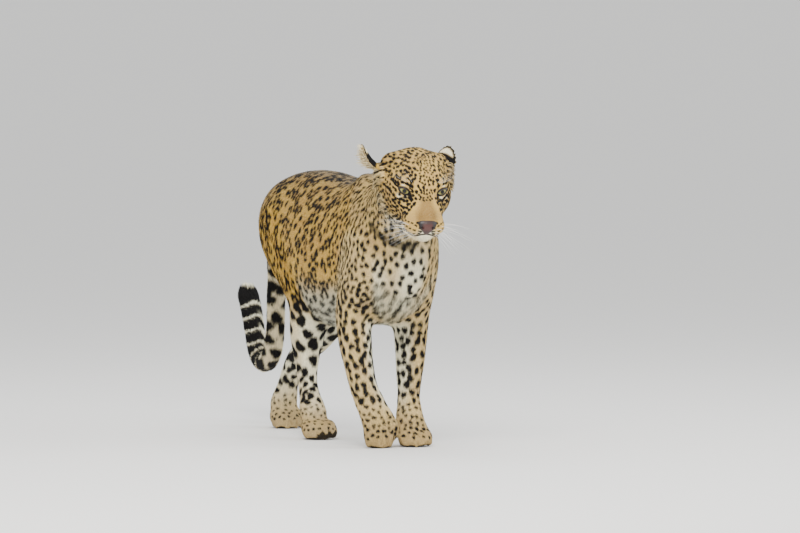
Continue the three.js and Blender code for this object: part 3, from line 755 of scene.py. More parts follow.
CREAM_PATCHES = [  # left, forward, up and reach of a pale patch
    (-22, 13, 9, 8),
    (-50, 6, -12, 9),
    (-38, 14, -14, 9),
    (-43, 5, 12, 8),
    (-9, 86, -74, 8),
]
PATCH_CREAM = 0.85
COLLAR = [(-60, 150, 500), (-56, 175, 478), (-40, 200, 462), (-15, 205, 458)]
COLLAR_WIDTH = 11
RING_EVERY = 0.031  # along the tail, metres
LAST_BLACK = 0.036
BROKEN_SIDE = (0.93, -0.37, 0)  # the side of the tail where its rings are broken
SOLE_HEIGHT = 14
LOW_LIMB_DARKENING = 0.5


hide_tree = bvhtree.BVHTree.FromPolygons(
    [Vector(p) for p in places], [tuple(face.vertices) for face in hide.polygons]
)


def laid_on(line, to_local, from_local, steps=4):
    """A line of places drawn onto the hide, with more places between them."""
    dense = []
    for a, b in zip(np.array(line[:-1], float), np.array(line[1:], float)):
        dense += [a + (b - a) * i / steps for i in range(steps)]
    dense.append(np.array(line[-1], float))
    down = [hide_tree.find_nearest(from_local(*p))[0] for p in dense]
    return [tuple(p) for p in to_local(np.array(down))]


def stroke(points, line, width, dashes=0):
    near = line_distance(points, line)
    mask = ease(width * 1.2, width * 0.8, near)
    if dashes:
        start, finish = np.array(line[0], float), np.array(line[-1], float)
        way = (finish - start) / np.linalg.norm(finish - start)
        mask = mask * ease(-0.75, -0.35, np.sin((points - start) @ way * 2 * np.pi / dashes))
    return mask


FACE_STROKES = {}
for side in (1, -1):
    lines = [(line, 1.9, 10.5) for line in WHISKER_ROWS]
    lines += [(TEAR_LINE, 3.0, 0), (OUTER_LINE, 2.6, 0), (UNDER_LINE, 1.9, 17)]
    lines += [(CORNER_PATCH, 4.0, 0), (NOSE_WING, 3.0, 0)]
    lines += [(BROW_BAR, 2.4, 0)]
    FACE_STROKES[side] = [
        (laid_on(line if side < 0 else mirrored(line), to_head, on_head), width, dashes)
        for line, width, dashes in lines
    ]
collar_line = laid_on(COLLAR, to_body, on_body)


def set_marks(points, facing, ear_mask, kinds_here, lengths, turns, pale, soaked_and_shaded):
    """The four masks of the coat at these places: dark, cream, warm, and wet hair with painted shade.
    """
    dark, warm = spot_marks(points)
    pale = pale.copy()
    spots_here = dark.copy()
    head_points = to_head(points)
    body_points = to_body(points)
    is_head_here = (kinds_here == "head") & ~ear_mask
    for side in (1, -1):
        seat = seats[0] if side > 0 else seats[1]
        out, rise, along = seat.across(points)
        near = is_head_here & (along > 0) & (np.hypot(out, rise) < 26)
        rim = ease(RIM_WIDTH * 1.3, RIM_WIDTH * 0.8, seat.gap(out, rise))
        dark = np.where(near, np.maximum(dark, rim), dark)
        for left, forward, up, reach in CREAM_PATCHES:
            away = np.linalg.norm(head_points - np.array((-side * left, forward, up)), axis=1)
            cream = PATCH_CREAM * ease(reach, reach * 0.5, away)
            pale = np.where(is_head_here, np.maximum(pale, cream), pale)
        for line, width, dashes in FACE_STROKES[side]:
            shade = stroke(head_points, line, width, dashes)
            dark = np.where(is_head_here, np.maximum(dark, shade), dark)
    collar = stroke(body_points, collar_line, COLLAR_WIDTH)
    ragged = 0.5 + 0.5 * np.sin(body_points[:, 0] * 0.33 + 0.5 * np.sin(body_points[:, 2] * 0.4))
    near_neck = np.isin(kinds_here, ["neck", "torso", "head"]) & ~ear_mask
    dark = np.where(near_neck, np.maximum(dark, collar * (0.55 + 0.45 * ragged)), dark)
    ringed = (kinds_here == "tail") & (lengths > RINGS_FROM)
    to_end = TAIL_LENGTH - lengths + 0.002 * np.sin(3 * turns + 1)
    rung = ((to_end - LAST_BLACK) / RING_EVERY) % 1
    black = ease(0.12, 0.18, rung) * ease(1.04, 0.98, rung)
    broken_side = ease(0.35, 0.85, facing @ np.array(BROKEN_SIDE)) * ease(0.05, 0.08, to_end)
    broken = 1 - broken_side * ease(-0.1, 0.5, np.sin(turns * 4 + lengths * 160))
    tip_black = np.maximum(black * broken, ease(LAST_BLACK + 0.002, LAST_BLACK - 0.002, to_end))
    end_fringe = ease(0.005, 0.001, to_end) * ease(0.62, 0.88, facing[:, 2])
    dark = np.where(ringed, tip_black * (1 - end_fringe), dark)
    pale = np.where(ringed, np.maximum(pale, end_fringe), pale)
    dark = np.where(ear_mask, 0, dark)
    half = 11 + 11 * ease(-4, -40, head_points[:, 2])
    bridge = ease(half + 10, half - 6, np.abs(head_points[:, 0])) * ease(8, 24, head_points[:, 1])
    bridge *= ease(14, -10, head_points[:, 2]) * ease(-66, -46, head_points[:, 2]) * is_head_here
    warm = np.maximum(0.6 * warm, bridge)
    limbs = np.isin(kinds_here, ["front_left", "front_right", "hind_left", "hind_right"])
    under = limbs & (facing[:, 2] < -0.7) & (body_points[:, 2] < SOLE_HEIGHT)
    raised_pad = (kinds_here == "hind_right") & (body_points[:, 1] > -214) & (facing[:, 1] < -0.25)
    raised_pad &= body_points[:, 0] > -80
    under |= raised_pad & (body_points[:, 2] < 17 + 4 * np.sin(0.35 * body_points[:, 0]))
    dark = np.where(under, np.maximum(dark, 0.95), dark)
    # The limbs are painted browner and darker towards the ground, below about 95 mm.
    warm = np.maximum(warm, LOW_LIMB_DARKENING * limbs * ease(95, 30, body_points[:, 2]))
    return np.column_stack((dark, pale, warm * (1 - spots_here), soaked_and_shaded))


marks = set_marks(places, normals, is_ear, region, run_length, run_turn, white, wet_and_shade)

# The back of each ear is black at its root and round its rim, with a cream spot between. The hollow is
# pale ochre.
for name in EARS:
    middle, tip, hollow = EAR_PLACES[name]
    middle, tip, hollow = on_head(*middle), head_way(*tip), head_way(*hollow)
    hollow = (hollow - tip * hollow.dot(tip)).normalized()
    here = is_ear & (np.linalg.norm(places - np.array(middle), axis=1) < EAR_REACH)
    rise = (places - np.array(middle)) @ np.array(tip) * 1000 / EAR_HEIGHT
    across = np.cross(np.array(tip), np.array(hollow))
    wide = np.abs((places - np.array(middle)) @ across) * 1000 / EAR_HALF_WIDTH
    inside = normals @ np.array(hollow) > 0.1
    edge = np.hypot(np.maximum(rise, 0), wide)
    black_band = ease(-0.5, -0.38, rise) * ease(0.46, 0.36, rise) + ease(0.72, 0.82, edge)
    cream_spot = ease(0.36, 0.46, rise) * ease(0.82, 0.72, edge)
    marks[here, 0] = np.where(inside, 0.10, np.clip(black_band, 0, 1))[here]
    marks[here, 1] = np.where(inside, 0.2 + 0.3 * ease(0.6, 0.95, edge), 0.9 * cream_spot)[here]
    marks[here, 2] = 0
    marks[here, 3] = 0

skin = bpy.data.objects.new("skin", hide)
bpy.context.scene.collection.objects.link(skin)


def store(mesh, name, values):
    layer = mesh.attributes.new(name, "FLOAT_COLOR", "POINT")
    layer.data.foreach_set("color", np.ascontiguousarray(values, dtype=np.float32).ravel())


store(hide, "marks", marks)
strand = np.column_stack([np.full(len(places), v) for v in (0.35, 0.5, 0.5, 1.0)])
store(hide, "strand", strand)


# The finish of the hide and of every hair: pigment in washes, spots of near black, each hair paler
# towards its end, and a wet back that is darker and shines a little. The lower flank takes the same
# grey-brown as painted shade.
class Signal:
    """A value in a material's node tree, so that sums on it read as sums."""

    def __init__(self, tree, socket):
        self.tree = tree
        self.socket = socket

    def _sum(self, operation, first, second):
        node = self.tree.nodes.new("ShaderNodeMath")
        node.operation = operation
        for socket, value in zip(node.inputs, (first, second)):
            if isinstance(value, Signal):
                self.tree.links.new(value.socket, socket)
            else:
                socket.default_value = value
        return Signal(self.tree, node.outputs[0])

    def __add__(self, other):
        return self._sum("ADD", self, other)

    def __radd__(self, other):
        return self._sum("ADD", other, self)

    def __sub__(self, other):
        return self._sum("SUBTRACT", self, other)

    def __rsub__(self, other):
        return self._sum("SUBTRACT", other, self)

    def __mul__(self, other):
        return self._sum("MULTIPLY", self, other)

    def __rmul__(self, other):
        return self._sum("MULTIPLY", other, self)

    def __truediv__(self, other):
        return self._sum("DIVIDE", self, other)

    def clipped(self):
        return self._sum("MAXIMUM", self._sum("MINIMUM", self, 1.0), 0.0)


class Finish:
    """A material under its own name, with one way to add any node."""

    def __init__(self, name):
        self.material = bpy.data.materials.new(name)
        self.material.use_nodes = True
        self.tree = self.material.node_tree
        self.shader = self.tree.nodes["Principled BSDF"]

    def node(self, kind, settings=(), **values):
        node = self.tree.nodes.new("ShaderNode" + kind)
        for key, value in dict(settings).items():
            setattr(node, key, value)
        for key, value in values.items():
            socket = node.inputs[int(key[1:])] if key[0] == "_" else node.inputs[key]
            self.put(socket, value)
        return node

    def put(self, socket, value):
        if isinstance(value, Signal):
            self.tree.links.new(value.socket, socket)
        elif isinstance(value, bpy.types.NodeSocket):
            self.tree.links.new(value, socket)
        else:
            socket.default_value = value

    def signal(self, socket):
        return Signal(self.tree, socket)

    def mixed(self, amount, first, second):
        node = self.node("Mix", {"data_type": "RGBA"}, _0=amount, _6=first, _7=second)
        return node.outputs[2]

    def noise(self, scale, detail=3.0, vector=None):
        values = {"Scale": scale, "Detail": detail}
        if vector is not None:
            values["Vector"] = vector
        else:
            values["Vector"] = self.node("TexCoord").outputs["Object"]
        return self.signal(self.node("TexNoise", **values).outputs["Fac"])

    def finish(self, **values):
        for key, value in values.items():
            self.put(self.shader.inputs[key.replace("_", " ")], value)
        return self.material


def paint(red, green, blue):
    """A colour as seen, 0 to 255, as light."""
    parts = [value / 255 for value in (red, green, blue)]
    return tuple(p / 12.92 if p <= 0.04045 else ((p + 0.055) / 1.055) ** 2.4 for p in parts) + (1,)


OCHRE = paint(224, 183, 56)
OCHRE_DEEP = paint(182, 136, 40)
CREAM = paint(255, 251, 222)
WARM = paint(124, 90, 36)
SOAKED_AND_SHADED = paint(100, 88, 74)
BLACK = paint(9, 7, 7)
BLACK_TIP = paint(24, 18, 15)


def coat_finish(name, bumpy):
    fur = Finish(name)
    all_marks = fur.node("Attribute", {"attribute_name": "marks"})
    masks = fur.node("SeparateColor", _0=all_marks.outputs["Color"])
    dark, pale, warm = (fur.signal(masks.outputs[i]) for i in range(3))
    wet_and_shade_mask = fur.signal(all_marks.outputs["Alpha"])
    strand_values = fur.node("Attribute", {"attribute_name": "strand"})
    hair = fur.node("SeparateColor", _0=strand_values.outputs["Color"])
    along, odd = (fur.signal(hair.outputs[i]) for i in range(2))
    patchy = fur.noise(26.0, 2.0)
    ground = fur.mixed((patchy * 1.6 - 0.4 + odd * 0.3 - 0.15).clipped(), OCHRE_DEEP, OCHRE)
    ground = fur.mixed(pale, ground, CREAM)
    ground = fur.mixed(warm * 0.85, ground, WARM)
    # Grey-brown of wet hair on the back, and painted shade on the lower flank.
    ground = fur.mixed(wet_and_shade_mask * 0.8, ground, SOAKED_AND_SHADED)
    tipped = fur.mixed((along * 0.55 + odd * 0.5 - 0.3).clipped() * 0.28, ground, CREAM)
    rooted = fur.mixed((0.55 - along).clipped() * 0.55, tipped, OCHRE_DEEP)
    black = fur.mixed((along * odd * 0.5).clipped(), BLACK, BLACK_TIP)
    colour = fur.mixed(dark, rooted, black)
    tone = odd * 0.36 + 0.82
    scaled = fur.node("VectorMath", {"operation": "SCALE"}, _0=colour, Scale=tone).outputs[0]
    settings = dict(
        Base_Color=scaled,
        Roughness=0.72 - wet_and_shade_mask * 0.28,
        Specular_IOR_Level=0.22,
    )
    if bumpy:
        fine = fur.noise(900.0, 3.0)
        bump = fur.node("Bump", Height=fine, Strength=0.5, Distance=0.0008)
        settings["Normal"] = bump.outputs["Normal"]
    return fur.finish(**settings)


skin_finish = coat_finish("hide", True)
coat_material = coat_finish("coat_hair", False)
hide.materials.append(skin_finish)
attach(skin, "root")
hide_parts(*FLESH, *EARS)

# The coat is short and lies flat, in thin overlapping tufts set on the skin: finest on the face and
# feet, longer on the throat, belly and tail. A tuft is a closed spike with three sides.
HAIR = {  # tufts on a square centimetre, length, width and lift in degrees
    "torso": (24, 6.6, 1.65, 15),
    "neck": (32, 6.6, 1.45, 16),
    "head": (50, 4.8, 1.15, 15),
    "nose": (0, 3.0, 1.0, 8),
    "leg": (31, 6.2, 1.5, 14),
    "paw": (40, 4.6, 1.2, 15),
    "tail": (30, 7.6, 1.7, 20),
}
hair_values = np.array([HAIR[kind] for kind in kinds], float)[owners]
hair_values[is_ear] = (64, 3.6, 1.0, 12)
muzzle = np.where(on_the_head, ease(-45, 70, hf), 0)
hair_values[:, 0] *= 1 + 0.8 * muzzle
hair_values[:, 1] *= 1 - 0.45 * muzzle
hair_values[:, 2] *= 1 - 0.35 * muzzle
hair_values[:, 3] *= 1 - 0.35 * muzzle
under = within(["torso"]) * ease(2.1, 2.7, side_turn)
hair_values[:, 1] *= 1 + 1.3 * under
hair_values[:, 3] += 8 * under
ruff = np.where(on_the_head, ease(-45, -85, hf) * ease(-20, -70, hu), 0)
ruff = np.maximum(ruff, np.where(within(["neck"]), ease(2.3, 2.8, side_turn) * ease(440, 490, up), 0))
hair_values[:, 1] *= 1 + 0.6 * ruff
hair_values[:, 3] += 7 * ruff
tuft_end = within(["tail"]) * ease(0.74, 0.84, run_length)
hair_values[:, 1] *= 1 + 0.3 * tuft_end
smooth_edges = edges[~is_ear[edges[:, 0]]]
hair_values[~is_ear] = evened(hair_values, smooth_edges, 6)[~is_ear]
nose_root = on_the_head & (owners == FLESH.index("nose"))
hair_values[nose_root, 0] = 0
for seat in seats:
    out, rise, along = seat.across(places)
    bare = on_the_head & (along > 0) & (np.hypot(out, rise) < 20) & (seat.gap(out, rise) < 1.2)
    hair_values[bare, 0] = 0
    close = on_the_head & (along > 0) & (np.hypot(out, rise) < 24) & (seat.gap(out, rise) < 5)
    hair_values[close, 1] = 2.6
    hair_values[close, 2] = 0.7
bald = (places[:, 2] < 0.004) & (normals[:, 2] < -0.5)
hair_values[bald, 0] = 0

hide.calc_loop_triangles()
triangles = np.empty(len(hide.loop_triangles) * 3, dtype=np.int64)
hide.loop_triangles.foreach_get("vertices", triangles)
triangles = triangles.reshape(-1, 3)
corner = places[triangles]
areas = 0.5 * np.linalg.norm(np.cross(corner[:, 1] - corner[:, 0], corner[:, 2] - corner[:, 0]), axis=1)


class Roots:
    """Where the tufts of some triangles stand, with the skin's values carried to each."""

    def __init__(self, chosen, number=None):
        wanted = areas[chosen] * 1e4
        if number is None:
            wanted = wanted * hair_values[triangles[chosen], 0].mean(axis=1)
        ends = np.cumsum(wanted)
        number = number or int(ends[-1])
        draws = (np.arange(number) + seeded.uniform(0, 1, number)) / number * ends[-1]
        picked = np.array(chosen)[np.minimum(np.searchsorted(ends, draws), len(chosen) - 1)]
        a, b = seeded.random((2, number))
        fold = a + b > 1
        a[fold], b[fold] = 1 - a[fold], 1 - b[fold]
        self.corners = triangles[picked]
        self.share = np.column_stack((1 - a - b, a, b))
        self.number = number
        self.place = self.carry(places)
        self.facing = unit(self.carry(normals))
        self.flow = laid(self.carry(flow), self.facing)
        self.hair = self.carry(hair_values)
        first = self.corners[:, 0]
        self.is_ear = is_ear[first]
        self.region = region[first]
        self.length = self.carry(run_length)
        self.turn = run_turn[first]

    def carry(self, values):
        return np.einsum("ij,ij...->i...", self.share, values[self.corners])


def coat_mesh(name, points, faces, marks_here, strands, patches):
    """A mesh from arrays of places, triangles and each place's masks and spot on the unwrapped skin."""
    mesh = bpy.data.meshes.new(name)
    mesh.vertices.add(len(points))
    mesh.vertices.foreach_set("co", points.astype(np.float32).ravel())
    mesh.loops.add(faces.size)
    mesh.loops.foreach_set("vertex_index", faces.astype(np.int32).ravel())
    mesh.polygons.add(len(faces))
    mesh.polygons.foreach_set("loop_start", np.arange(0, faces.size, 3, dtype=np.int32))
    mesh.update(calc_edges=True)
    unwrap = mesh.uv_layers.new(name="OFBake")
    unwrap.data.foreach_set("uv", patches[faces.ravel()].astype(np.float32).ravel())
    store(mesh, "marks", marks_here)
    store(mesh, "strand", strands)
    mesh.polygons.foreach_set("use_smooth", np.ones(len(faces), dtype=bool))
    mesh.materials.append(coat_material)
    piece = bpy.data.objects.new(name, mesh)
    bpy.context.scene.collection.objects.link(piece)
    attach(piece, "root")
    return piece


PATCH = 0.003  # size of a tuft's patch on the unwrapped skin


def unwrapped(roots):
    """Where the tufts stand on the unwrapped skin: round the body, and along it."""
    longest = max(roots.length.max(), 0.05)
    return np.column_stack((0.5 + 0.49 * roots.turn / np.pi, 0.01 + 0.98 * roots.length / longest))


def grow(name, roots, lengths, widths, lifts, painted, bent=False):
    """Tufts on roots: one ring and a tip, or two rings and a tip where they are long and bent."""
    number = len(roots.place)
    stray = seeded.normal(0, 0.13, number)
    side = np.cross(roots.facing, roots.flow)
    way = roots.flow * np.cos(stray)[:, None] + side * np.sin(stray)[:, None]
    side = np.cross(roots.facing, way)
    lift = np.radians(lifts)[:, None]
    rise = way * np.cos(lift) + roots.facing * np.sin(lift)
    length, width = lengths[:, None], widths[:, None]
    base = roots.place - roots.facing * 0.35 * width
    rings = [(base, 0.5 * width, 0.55 * width)]
    if bent:
        middle = base + rise * length * 0.5
        rings.append((middle, 0.42 * width, 0.35 * width))
        bend = way * np.cos(lift * 0.4) + roots.facing * np.sin(lift * 0.4) + DOWN * 0.12
        tip = middle + unit(bend) * length * 0.5
    else:
        tip = base + rise * length
    columns, along = [], []
    for step, (ring, half, height) in enumerate(rings):
        columns += [ring - side * half, ring + side * half, ring + roots.facing * height]
        along += [0.5 * step] * 3
    columns.append(tip)
    along.append(1.0)
    points = np.stack(columns, axis=1)
    top = len(columns) - 1
    faces = [(0, 2, 1)]
    for step in range(len(rings) - 1):
        low, high = 3 * step, 3 * step + 3
        for a, b in ((0, 1), (1, 2), (2, 0)):
            faces += [(low + a, low + b, high + b), (low + a, high + b, high + a)]
    low = top - 3
    faces += [(low, low + 1, top), (low + 1, low + 2, top), (low + 2, low, top)]
    size = len(columns)
    faces = np.array(faces)[None] + (np.arange(number) * size)[:, None, None]
    odd = seeded.random(number)
    at_root = painted(roots.place)
    at_tip = painted(tip - roots.facing * dot(tip - roots.place, roots.facing)[:, None])
    share = np.array(along)[None, :, None]
    marks_here = (at_root[:, None, :] * (1 - share) + at_tip[:, None, :] * share).reshape(-1, 4)
    strands = np.zeros((number, size, 4))
    strands[:, :, 0] = np.array(along)
    strands[:, :, 1] = odd[:, None]
    strands[:, :, 3] = 1
    corners = np.array([(-0.5, -0.5), (0.5, -0.5), (0.0, -0.2)] * len(rings) + [(0.0, 0.5)])
    corners[3 * (len(rings) - 1):-1, 1] += 0.4 * (len(rings) - 1)
    patches = unwrapped(roots)[:, None, :] + corners[None] * PATCH
    return coat_mesh(
        name, points.reshape(-1, 3), faces.reshape(-1, 3), marks_here,
        strands.reshape(-1, 4), patches.reshape(-1, 2),
    )


centroid = corner.mean(axis=1)
triangle_ear = is_ear[triangles[:, 0]]
triangle_region = region[triangles[:, 0]]
head_forward = to_head(centroid)[:, 1]
body_forward = to_body(centroid)[:, 1]
PATCHES_OF_COAT = {
    "coat_face": (triangle_region == "head") & ~triangle_ear & (head_forward > -8),
    "coat_head": (triangle_region == "head") & ~triangle_ear & (head_forward <= -8),
    "coat_ears": triangle_ear,
    "coat_neck": (triangle_region == "neck") & ~triangle_ear,
    "coat_shoulders": (triangle_region == "torso") & ~triangle_ear & (body_forward > -110),
    "coat_flanks": (triangle_region == "torso") & ~triangle_ear & (np.abs(body_forward + 230) <= 120),
    "coat_loins": (triangle_region == "torso") & ~triangle_ear & (body_forward < -350),
    "coat_tail": (triangle_region == "tail") & ~triangle_ear,
    "coat_front_left": (triangle_region == "front_left") & ~triangle_ear,
    "coat_front_right": (triangle_region == "front_right") & ~triangle_ear,
    "coat_hind_left": (triangle_region == "hind_left") & ~triangle_ear,
    "coat_hind_right": (triangle_region == "hind_right") & ~triangle_ear,
}


def painter(roots, pale_here, own_marks=None):
    """A function that gives the masks of the coat at places over these roots."""
    soaked_and_shaded_here = roots.carry(wet_and_shade)

    def painted(points):
        if own_marks is not None:
            return own_marks
        return set_marks(
            points, roots.facing, roots.is_ear, roots.region, roots.length, roots.turn,
            pale_here, soaked_and_shaded_here,
        )

    return painted


for name, where in PATCHES_OF_COAT.items():
    roots = Roots(np.flatnonzero(where))
    ear_marks = roots.carry(marks) if name == "coat_ears" else None
    lengths = roots.hair[:, 1] / 1000 * seeded.uniform(0.75, 1.2, roots.number)
    widths = roots.hair[:, 2] / 1000 * seeded.uniform(0.75, 1.2, roots.number)
    lifts = roots.hair[:, 3] * seeded.uniform(0.6, 1.5, roots.number)
    grow(name, roots, lengths, widths, lifts, painter(roots, roots.carry(white), ear_marks))

# Longer locks stand out of the short coat where it is fluffed: round the roots of the ears, in the
# hollow of the right ear, on the cheeks, the chin and the belly, and at the tail's end. They are spikes
# with a bend in them.
ear_middle, _, ear_hollow = EAR_PLACES["ear_right"]
from_ear = np.linalg.norm(centroid - np.array(on_head(*ear_middle)), axis=1)
faces_hollow = normals[triangles[:, 0]] @ np.array(head_way(*ear_hollow)) > 0
in_right_ear = triangle_ear & (from_ear < EAR_REACH) & faces_hollow
under_trunk = (triangle_region == "torso") & (side_turn[triangles[:, 0]] > 2.5) & (body_forward < 0)
head_centroid, body_centroid = to_head(centroid), to_body(centroid)


def round_place(middle, reach, places_here=head_centroid):
    return ~triangle_ear & (np.linalg.norm(places_here - np.array(middle), axis=1) < reach)


LOCKS = [  # where, number, way, length and width in millimetres, least cream
    (round_place((-92, -84, 4), 30), 760, head_way(-0.9, -0.25, -0.35), 21, 2.6, 0.25),
    (round_place((74, -84, 4), 30), 760, head_way(0.9, -0.2, -0.35), 21, 2.6, 0.25),
    (in_right_ear, 260, Vector((-0.90, 0.30, -0.22)), 15, 1.5, 0.6),
    (round_place((-74, -62, -60), 30), 520, head_way(-0.3, -0.8, -0.6), 11, 1.9, 0.35),
    (round_place((66, -60, -58), 30), 520, head_way(0.3, -0.8, -0.6), 11, 1.9, 0.35),
    (round_place((0, 48, -98), 30), 420, head_way(0, -0.6, -0.6), 8, 1.4, 0.3),
    (under_trunk, 2600, Vector((0, 0.85, -0.35)), 17, 2.2, 0.6),
    (round_place((30, -905, 289), 34, body_centroid), 520, Vector((0, 0.25, 0.9)), 15, 2.0, 0.0),
]
for order, (where, number, way, long, wide, cream) in enumerate(LOCKS):
    roots = Roots(np.flatnonzero(where), number)
    pale_here = np.maximum(roots.carry(white), cream)
    way = np.array(way.normalized())
    rising = np.degrees(np.arcsin(np.clip(roots.facing @ way, -1, 1)))
    roots.flow = laid(way + 0.2 * roots.flow, roots.facing)
    lengths = long / 1000 * seeded.uniform(0.6, 1.15, roots.number)
    widths = wide / 1000 * seeded.uniform(0.7, 1.1, roots.number)
    lifts = np.clip(rising, 12, 55) * seeded.uniform(0.8, 1.15, roots.number)
    grow("locks_" + str(order), roots, lengths, widths, lifts, painter(roots, pale_here), bent=True)

# The eyeballs are wet and glossy: a pale olive iris with a dark edge round a small pupil.
IRIS_ANGLE, PUPIL_ANGLE = 46, 15


def eye_finish():
    eye = Finish("eye_wet")
    polar = eye.signal(eye.node("Attribute", {"attribute_name": "from_pupil"}).outputs["Fac"])
    fibres = eye.noise(700.0, 4.0)
    ramp = [
        (0.0, paint(8, 8, 8)), (PUPIL_ANGLE / 90, paint(10, 10, 9)),
        (PUPIL_ANGLE / 90 + 0.02, paint(92, 84, 36)), (0.30, paint(172, 164, 92)),
        (0.42, paint(168, 166, 104)), (IRIS_ANGLE / 90 - 0.02, paint(96, 92, 52)),
        (IRIS_ANGLE / 90 + 0.01, paint(14, 11, 10)), (1.0, paint(22, 14, 12)),
    ]
    node = eye.node("ValToRGB", Fac=polar / 90 + fibres * 0.03 - 0.015)
    stops = node.color_ramp.elements
    while len(stops) < len(ramp):
        stops.new(0.5)
    for stop, (place, colour) in zip(stops, ramp):
        stop.position = place
        stop.color = colour
    return eye.finish(
        Base_Color=node.outputs["Color"], Roughness=0.4, Specular_IOR_Level=0.15,
        Coat_Weight=0.4, Coat_Roughness=0.03,
    )


eye_material = eye_finish()
for seat, node in zip(seats, EYEBALLS):
    ball = bmesh.new()
    bmesh.ops.create_uvsphere(ball, u_segments=48, v_segments=36, radius=EYEBALL / 1000)
    turn = Vector((0, 0, 1)).rotation_difference(seat.sight).to_matrix().to_4x4()
    angles = []
    for vertex in ball.verts:
        angle = math.degrees(vertex.co.angle(Vector((0, 0, 1))))
        angles.append(angle)
        vertex.co *= 1 + 0.05 * math.exp(-((angle / 34) ** 4))
    ball.transform(Matrix.Translation(seat.centre) @ turn)
    for face in ball.faces:
        face.smooth = True
    mesh = bpy.data.meshes.new(node + "_wet")
    ball.to_mesh(mesh)
    ball.free()
    layer = mesh.attributes.new("from_pupil", "FLOAT", "POINT")
    layer.data.foreach_set("value", np.array(angles, dtype=np.float32))
    mesh.materials.append(eye_material)
    piece = bpy.data.objects.new(node + "_wet", mesh)
    bpy.context.scene.collection.objects.link(piece)
    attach(piece, "root")
    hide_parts(node)

# The lids end in a rim of bare black skin, thicker above, and the lips in a dark line. Both are drawn
# as soft cords of skin along the opening and the mouth.
BARE_SKIN = paint(20, 15, 14)
bare = Finish("bare_skin")
bare_material = bare.finish(
    Base_Color=bare.mixed(bare.noise(300.0), BARE_SKIN, paint(44, 32, 28)),
    Roughness=0.38, Specular_IOR_Level=0.4,
)


def soft_cord(name, lines, material, closed=False):
    """Tubes along lines of places, each place with its own half thickness in millimetres."""
    curve = bpy.data.curves.new(name, "CURVE")
    curve.dimensions = "3D"
    curve.bevel_depth = 0.001
    curve.bevel_resolution = 2
    curve.resolution_u = 3
    curve.use_fill_caps = True
    for line in lines:
        spline = curve.splines.new("POLY")
        spline.points.add(len(line) - 1)
        for point, (place, half) in zip(spline.points, line):
            point.co = (*place, 1)
            point.radius = half
        spline.use_cyclic_u = closed
    holder = bpy.data.objects.new(name, curve)
    bpy.context.scene.collection.objects.link(holder)
    ready = holder.evaluated_get(bpy.context.evaluated_depsgraph_get())
    mesh = bpy.data.meshes.new_from_object(ready)
    bpy.data.objects.remove(holder)
    mesh.materials.clear()
    mesh.materials.append(material)
    for polygon in mesh.polygons:
        polygon.use_smooth = True
    piece = bpy.data.objects.new(name, mesh)
    bpy.context.scene.collection.objects.link(piece)
    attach(piece, "root")
    return piece


rims = []
for seat in seats:
    rim = []
    for i in range(48):
        turn = 2 * math.pi * i / 48
        out = LID_HALF_LENGTH * math.cos(turn)
        rise = (LID_RISE if math.sin(turn) > 0 else LID_FALL) * (1 - (out / LID_HALF_LENGTH) ** 2)
        place = seat.on_lid(out * 0.97, math.copysign(rise, math.sin(turn)), 1.0)
        rim.append((place, 2.1 if math.sin(turn) > 0 else 1.3))
    rims.append(rim)
soft_cord("lid_rims", rims, bare_material, closed=True)

skin_tree = bvhtree.BVHTree.FromObject(skin, bpy.context.evaluated_depsgraph_get())


def on_skin(left, forward, up, proud=0.0):
    place, facing, _, _ = skin_tree.find_nearest(on_head(left, forward, up))
    return place + facing * proud / 1000


def rounded(line, steps):
    """A line of places with more places between them, on a smooth curve through them."""
    line = [Vector(p) for p in line]
    line = [2 * line[0] - line[1]] + line + [2 * line[-1] - line[-2]]
    made = []
    for a, b, c, d in zip(line, line[1:], line[2:], line[3:]):
        for i in range(steps):
            t = i / steps
            made.append(0.5 * (2 * b + (c - a) * t + (2 * a - 5 * b + 4 * c - d) * t**2
                               + (3 * b - a - 3 * c + d) * t**3))
    return made + [line[-2]]


lips = []
for line in (MOUTH_SIDE, mirrored(MOUTH_SIDE)):
    way = rounded(line, 5)
    lips.append([(on_skin(*p, 1.2), 1.7 * (1 - 0.6 * i / len(way))) for i, p in enumerate(way)])
lips.append([(on_skin(*p, 1.0), 1.1) for p in rounded(FURROW, 4)])
soft_cord("lip_line", lips, bare_material)

# The nose leather: damp, pebbled skin, brown at the middle and black at the sides, with a nostril
# hollowed in each lower corner.
leather_mesh = one_shell(gathered(["nose"], 0.0), 0.0009, "nose_pad")
leather_places = places_of(leather_mesh)
set_places(leather_mesh, evened(leather_places, edges_of(leather_mesh), 5))
for polygon in leather_mesh.polygons:
    polygon.use_smooth = True
nl, _, nu = to_head(places_of(leather_mesh)).T
store(leather_mesh, "pigment", np.column_stack((
    ease(7, 15, np.abs(nl)), ease(-50, -44, nu), ease(-58, -66, nu), np.ones(len(nl)),
)))
pad = Finish("nose_damp")
pigment = pad.node("Attribute", {"attribute_name": "pigment"}).outputs["Color"]
pigment = pad.node("SeparateColor", _0=pigment)
sides, rim_top, low_part = (pad.signal(pigment.outputs[i]) for i in range(3))
pebbles = pad.node("TexVoronoi", Vector=pad.node("TexCoord").outputs["Object"], Scale=850.0)
brown = pad.mixed(pad.noise(240.0), paint(60, 30, 27), paint(84, 46, 40))
brown = pad.mixed((sides * 1.0 + low_part * 0.5).clipped(), brown, paint(22, 16, 16))
brown = pad.mixed(rim_top * 0.7, brown, paint(30, 20, 18))
pad_bump = pad.node("Bump", Height=pebbles.outputs["Distance"], Strength=0.35, Distance=0.0006)
leather_mesh.materials.append(pad.finish(
    Base_Color=brown, Roughness=0.36, Specular_IOR_Level=0.5, Normal=pad_bump.outputs["Normal"],
))
leather = bpy.data.objects.new("nose_leather", leather_mesh)
bpy.context.scene.collection.objects.link(leather)
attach(leather, "root")
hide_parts("nose")

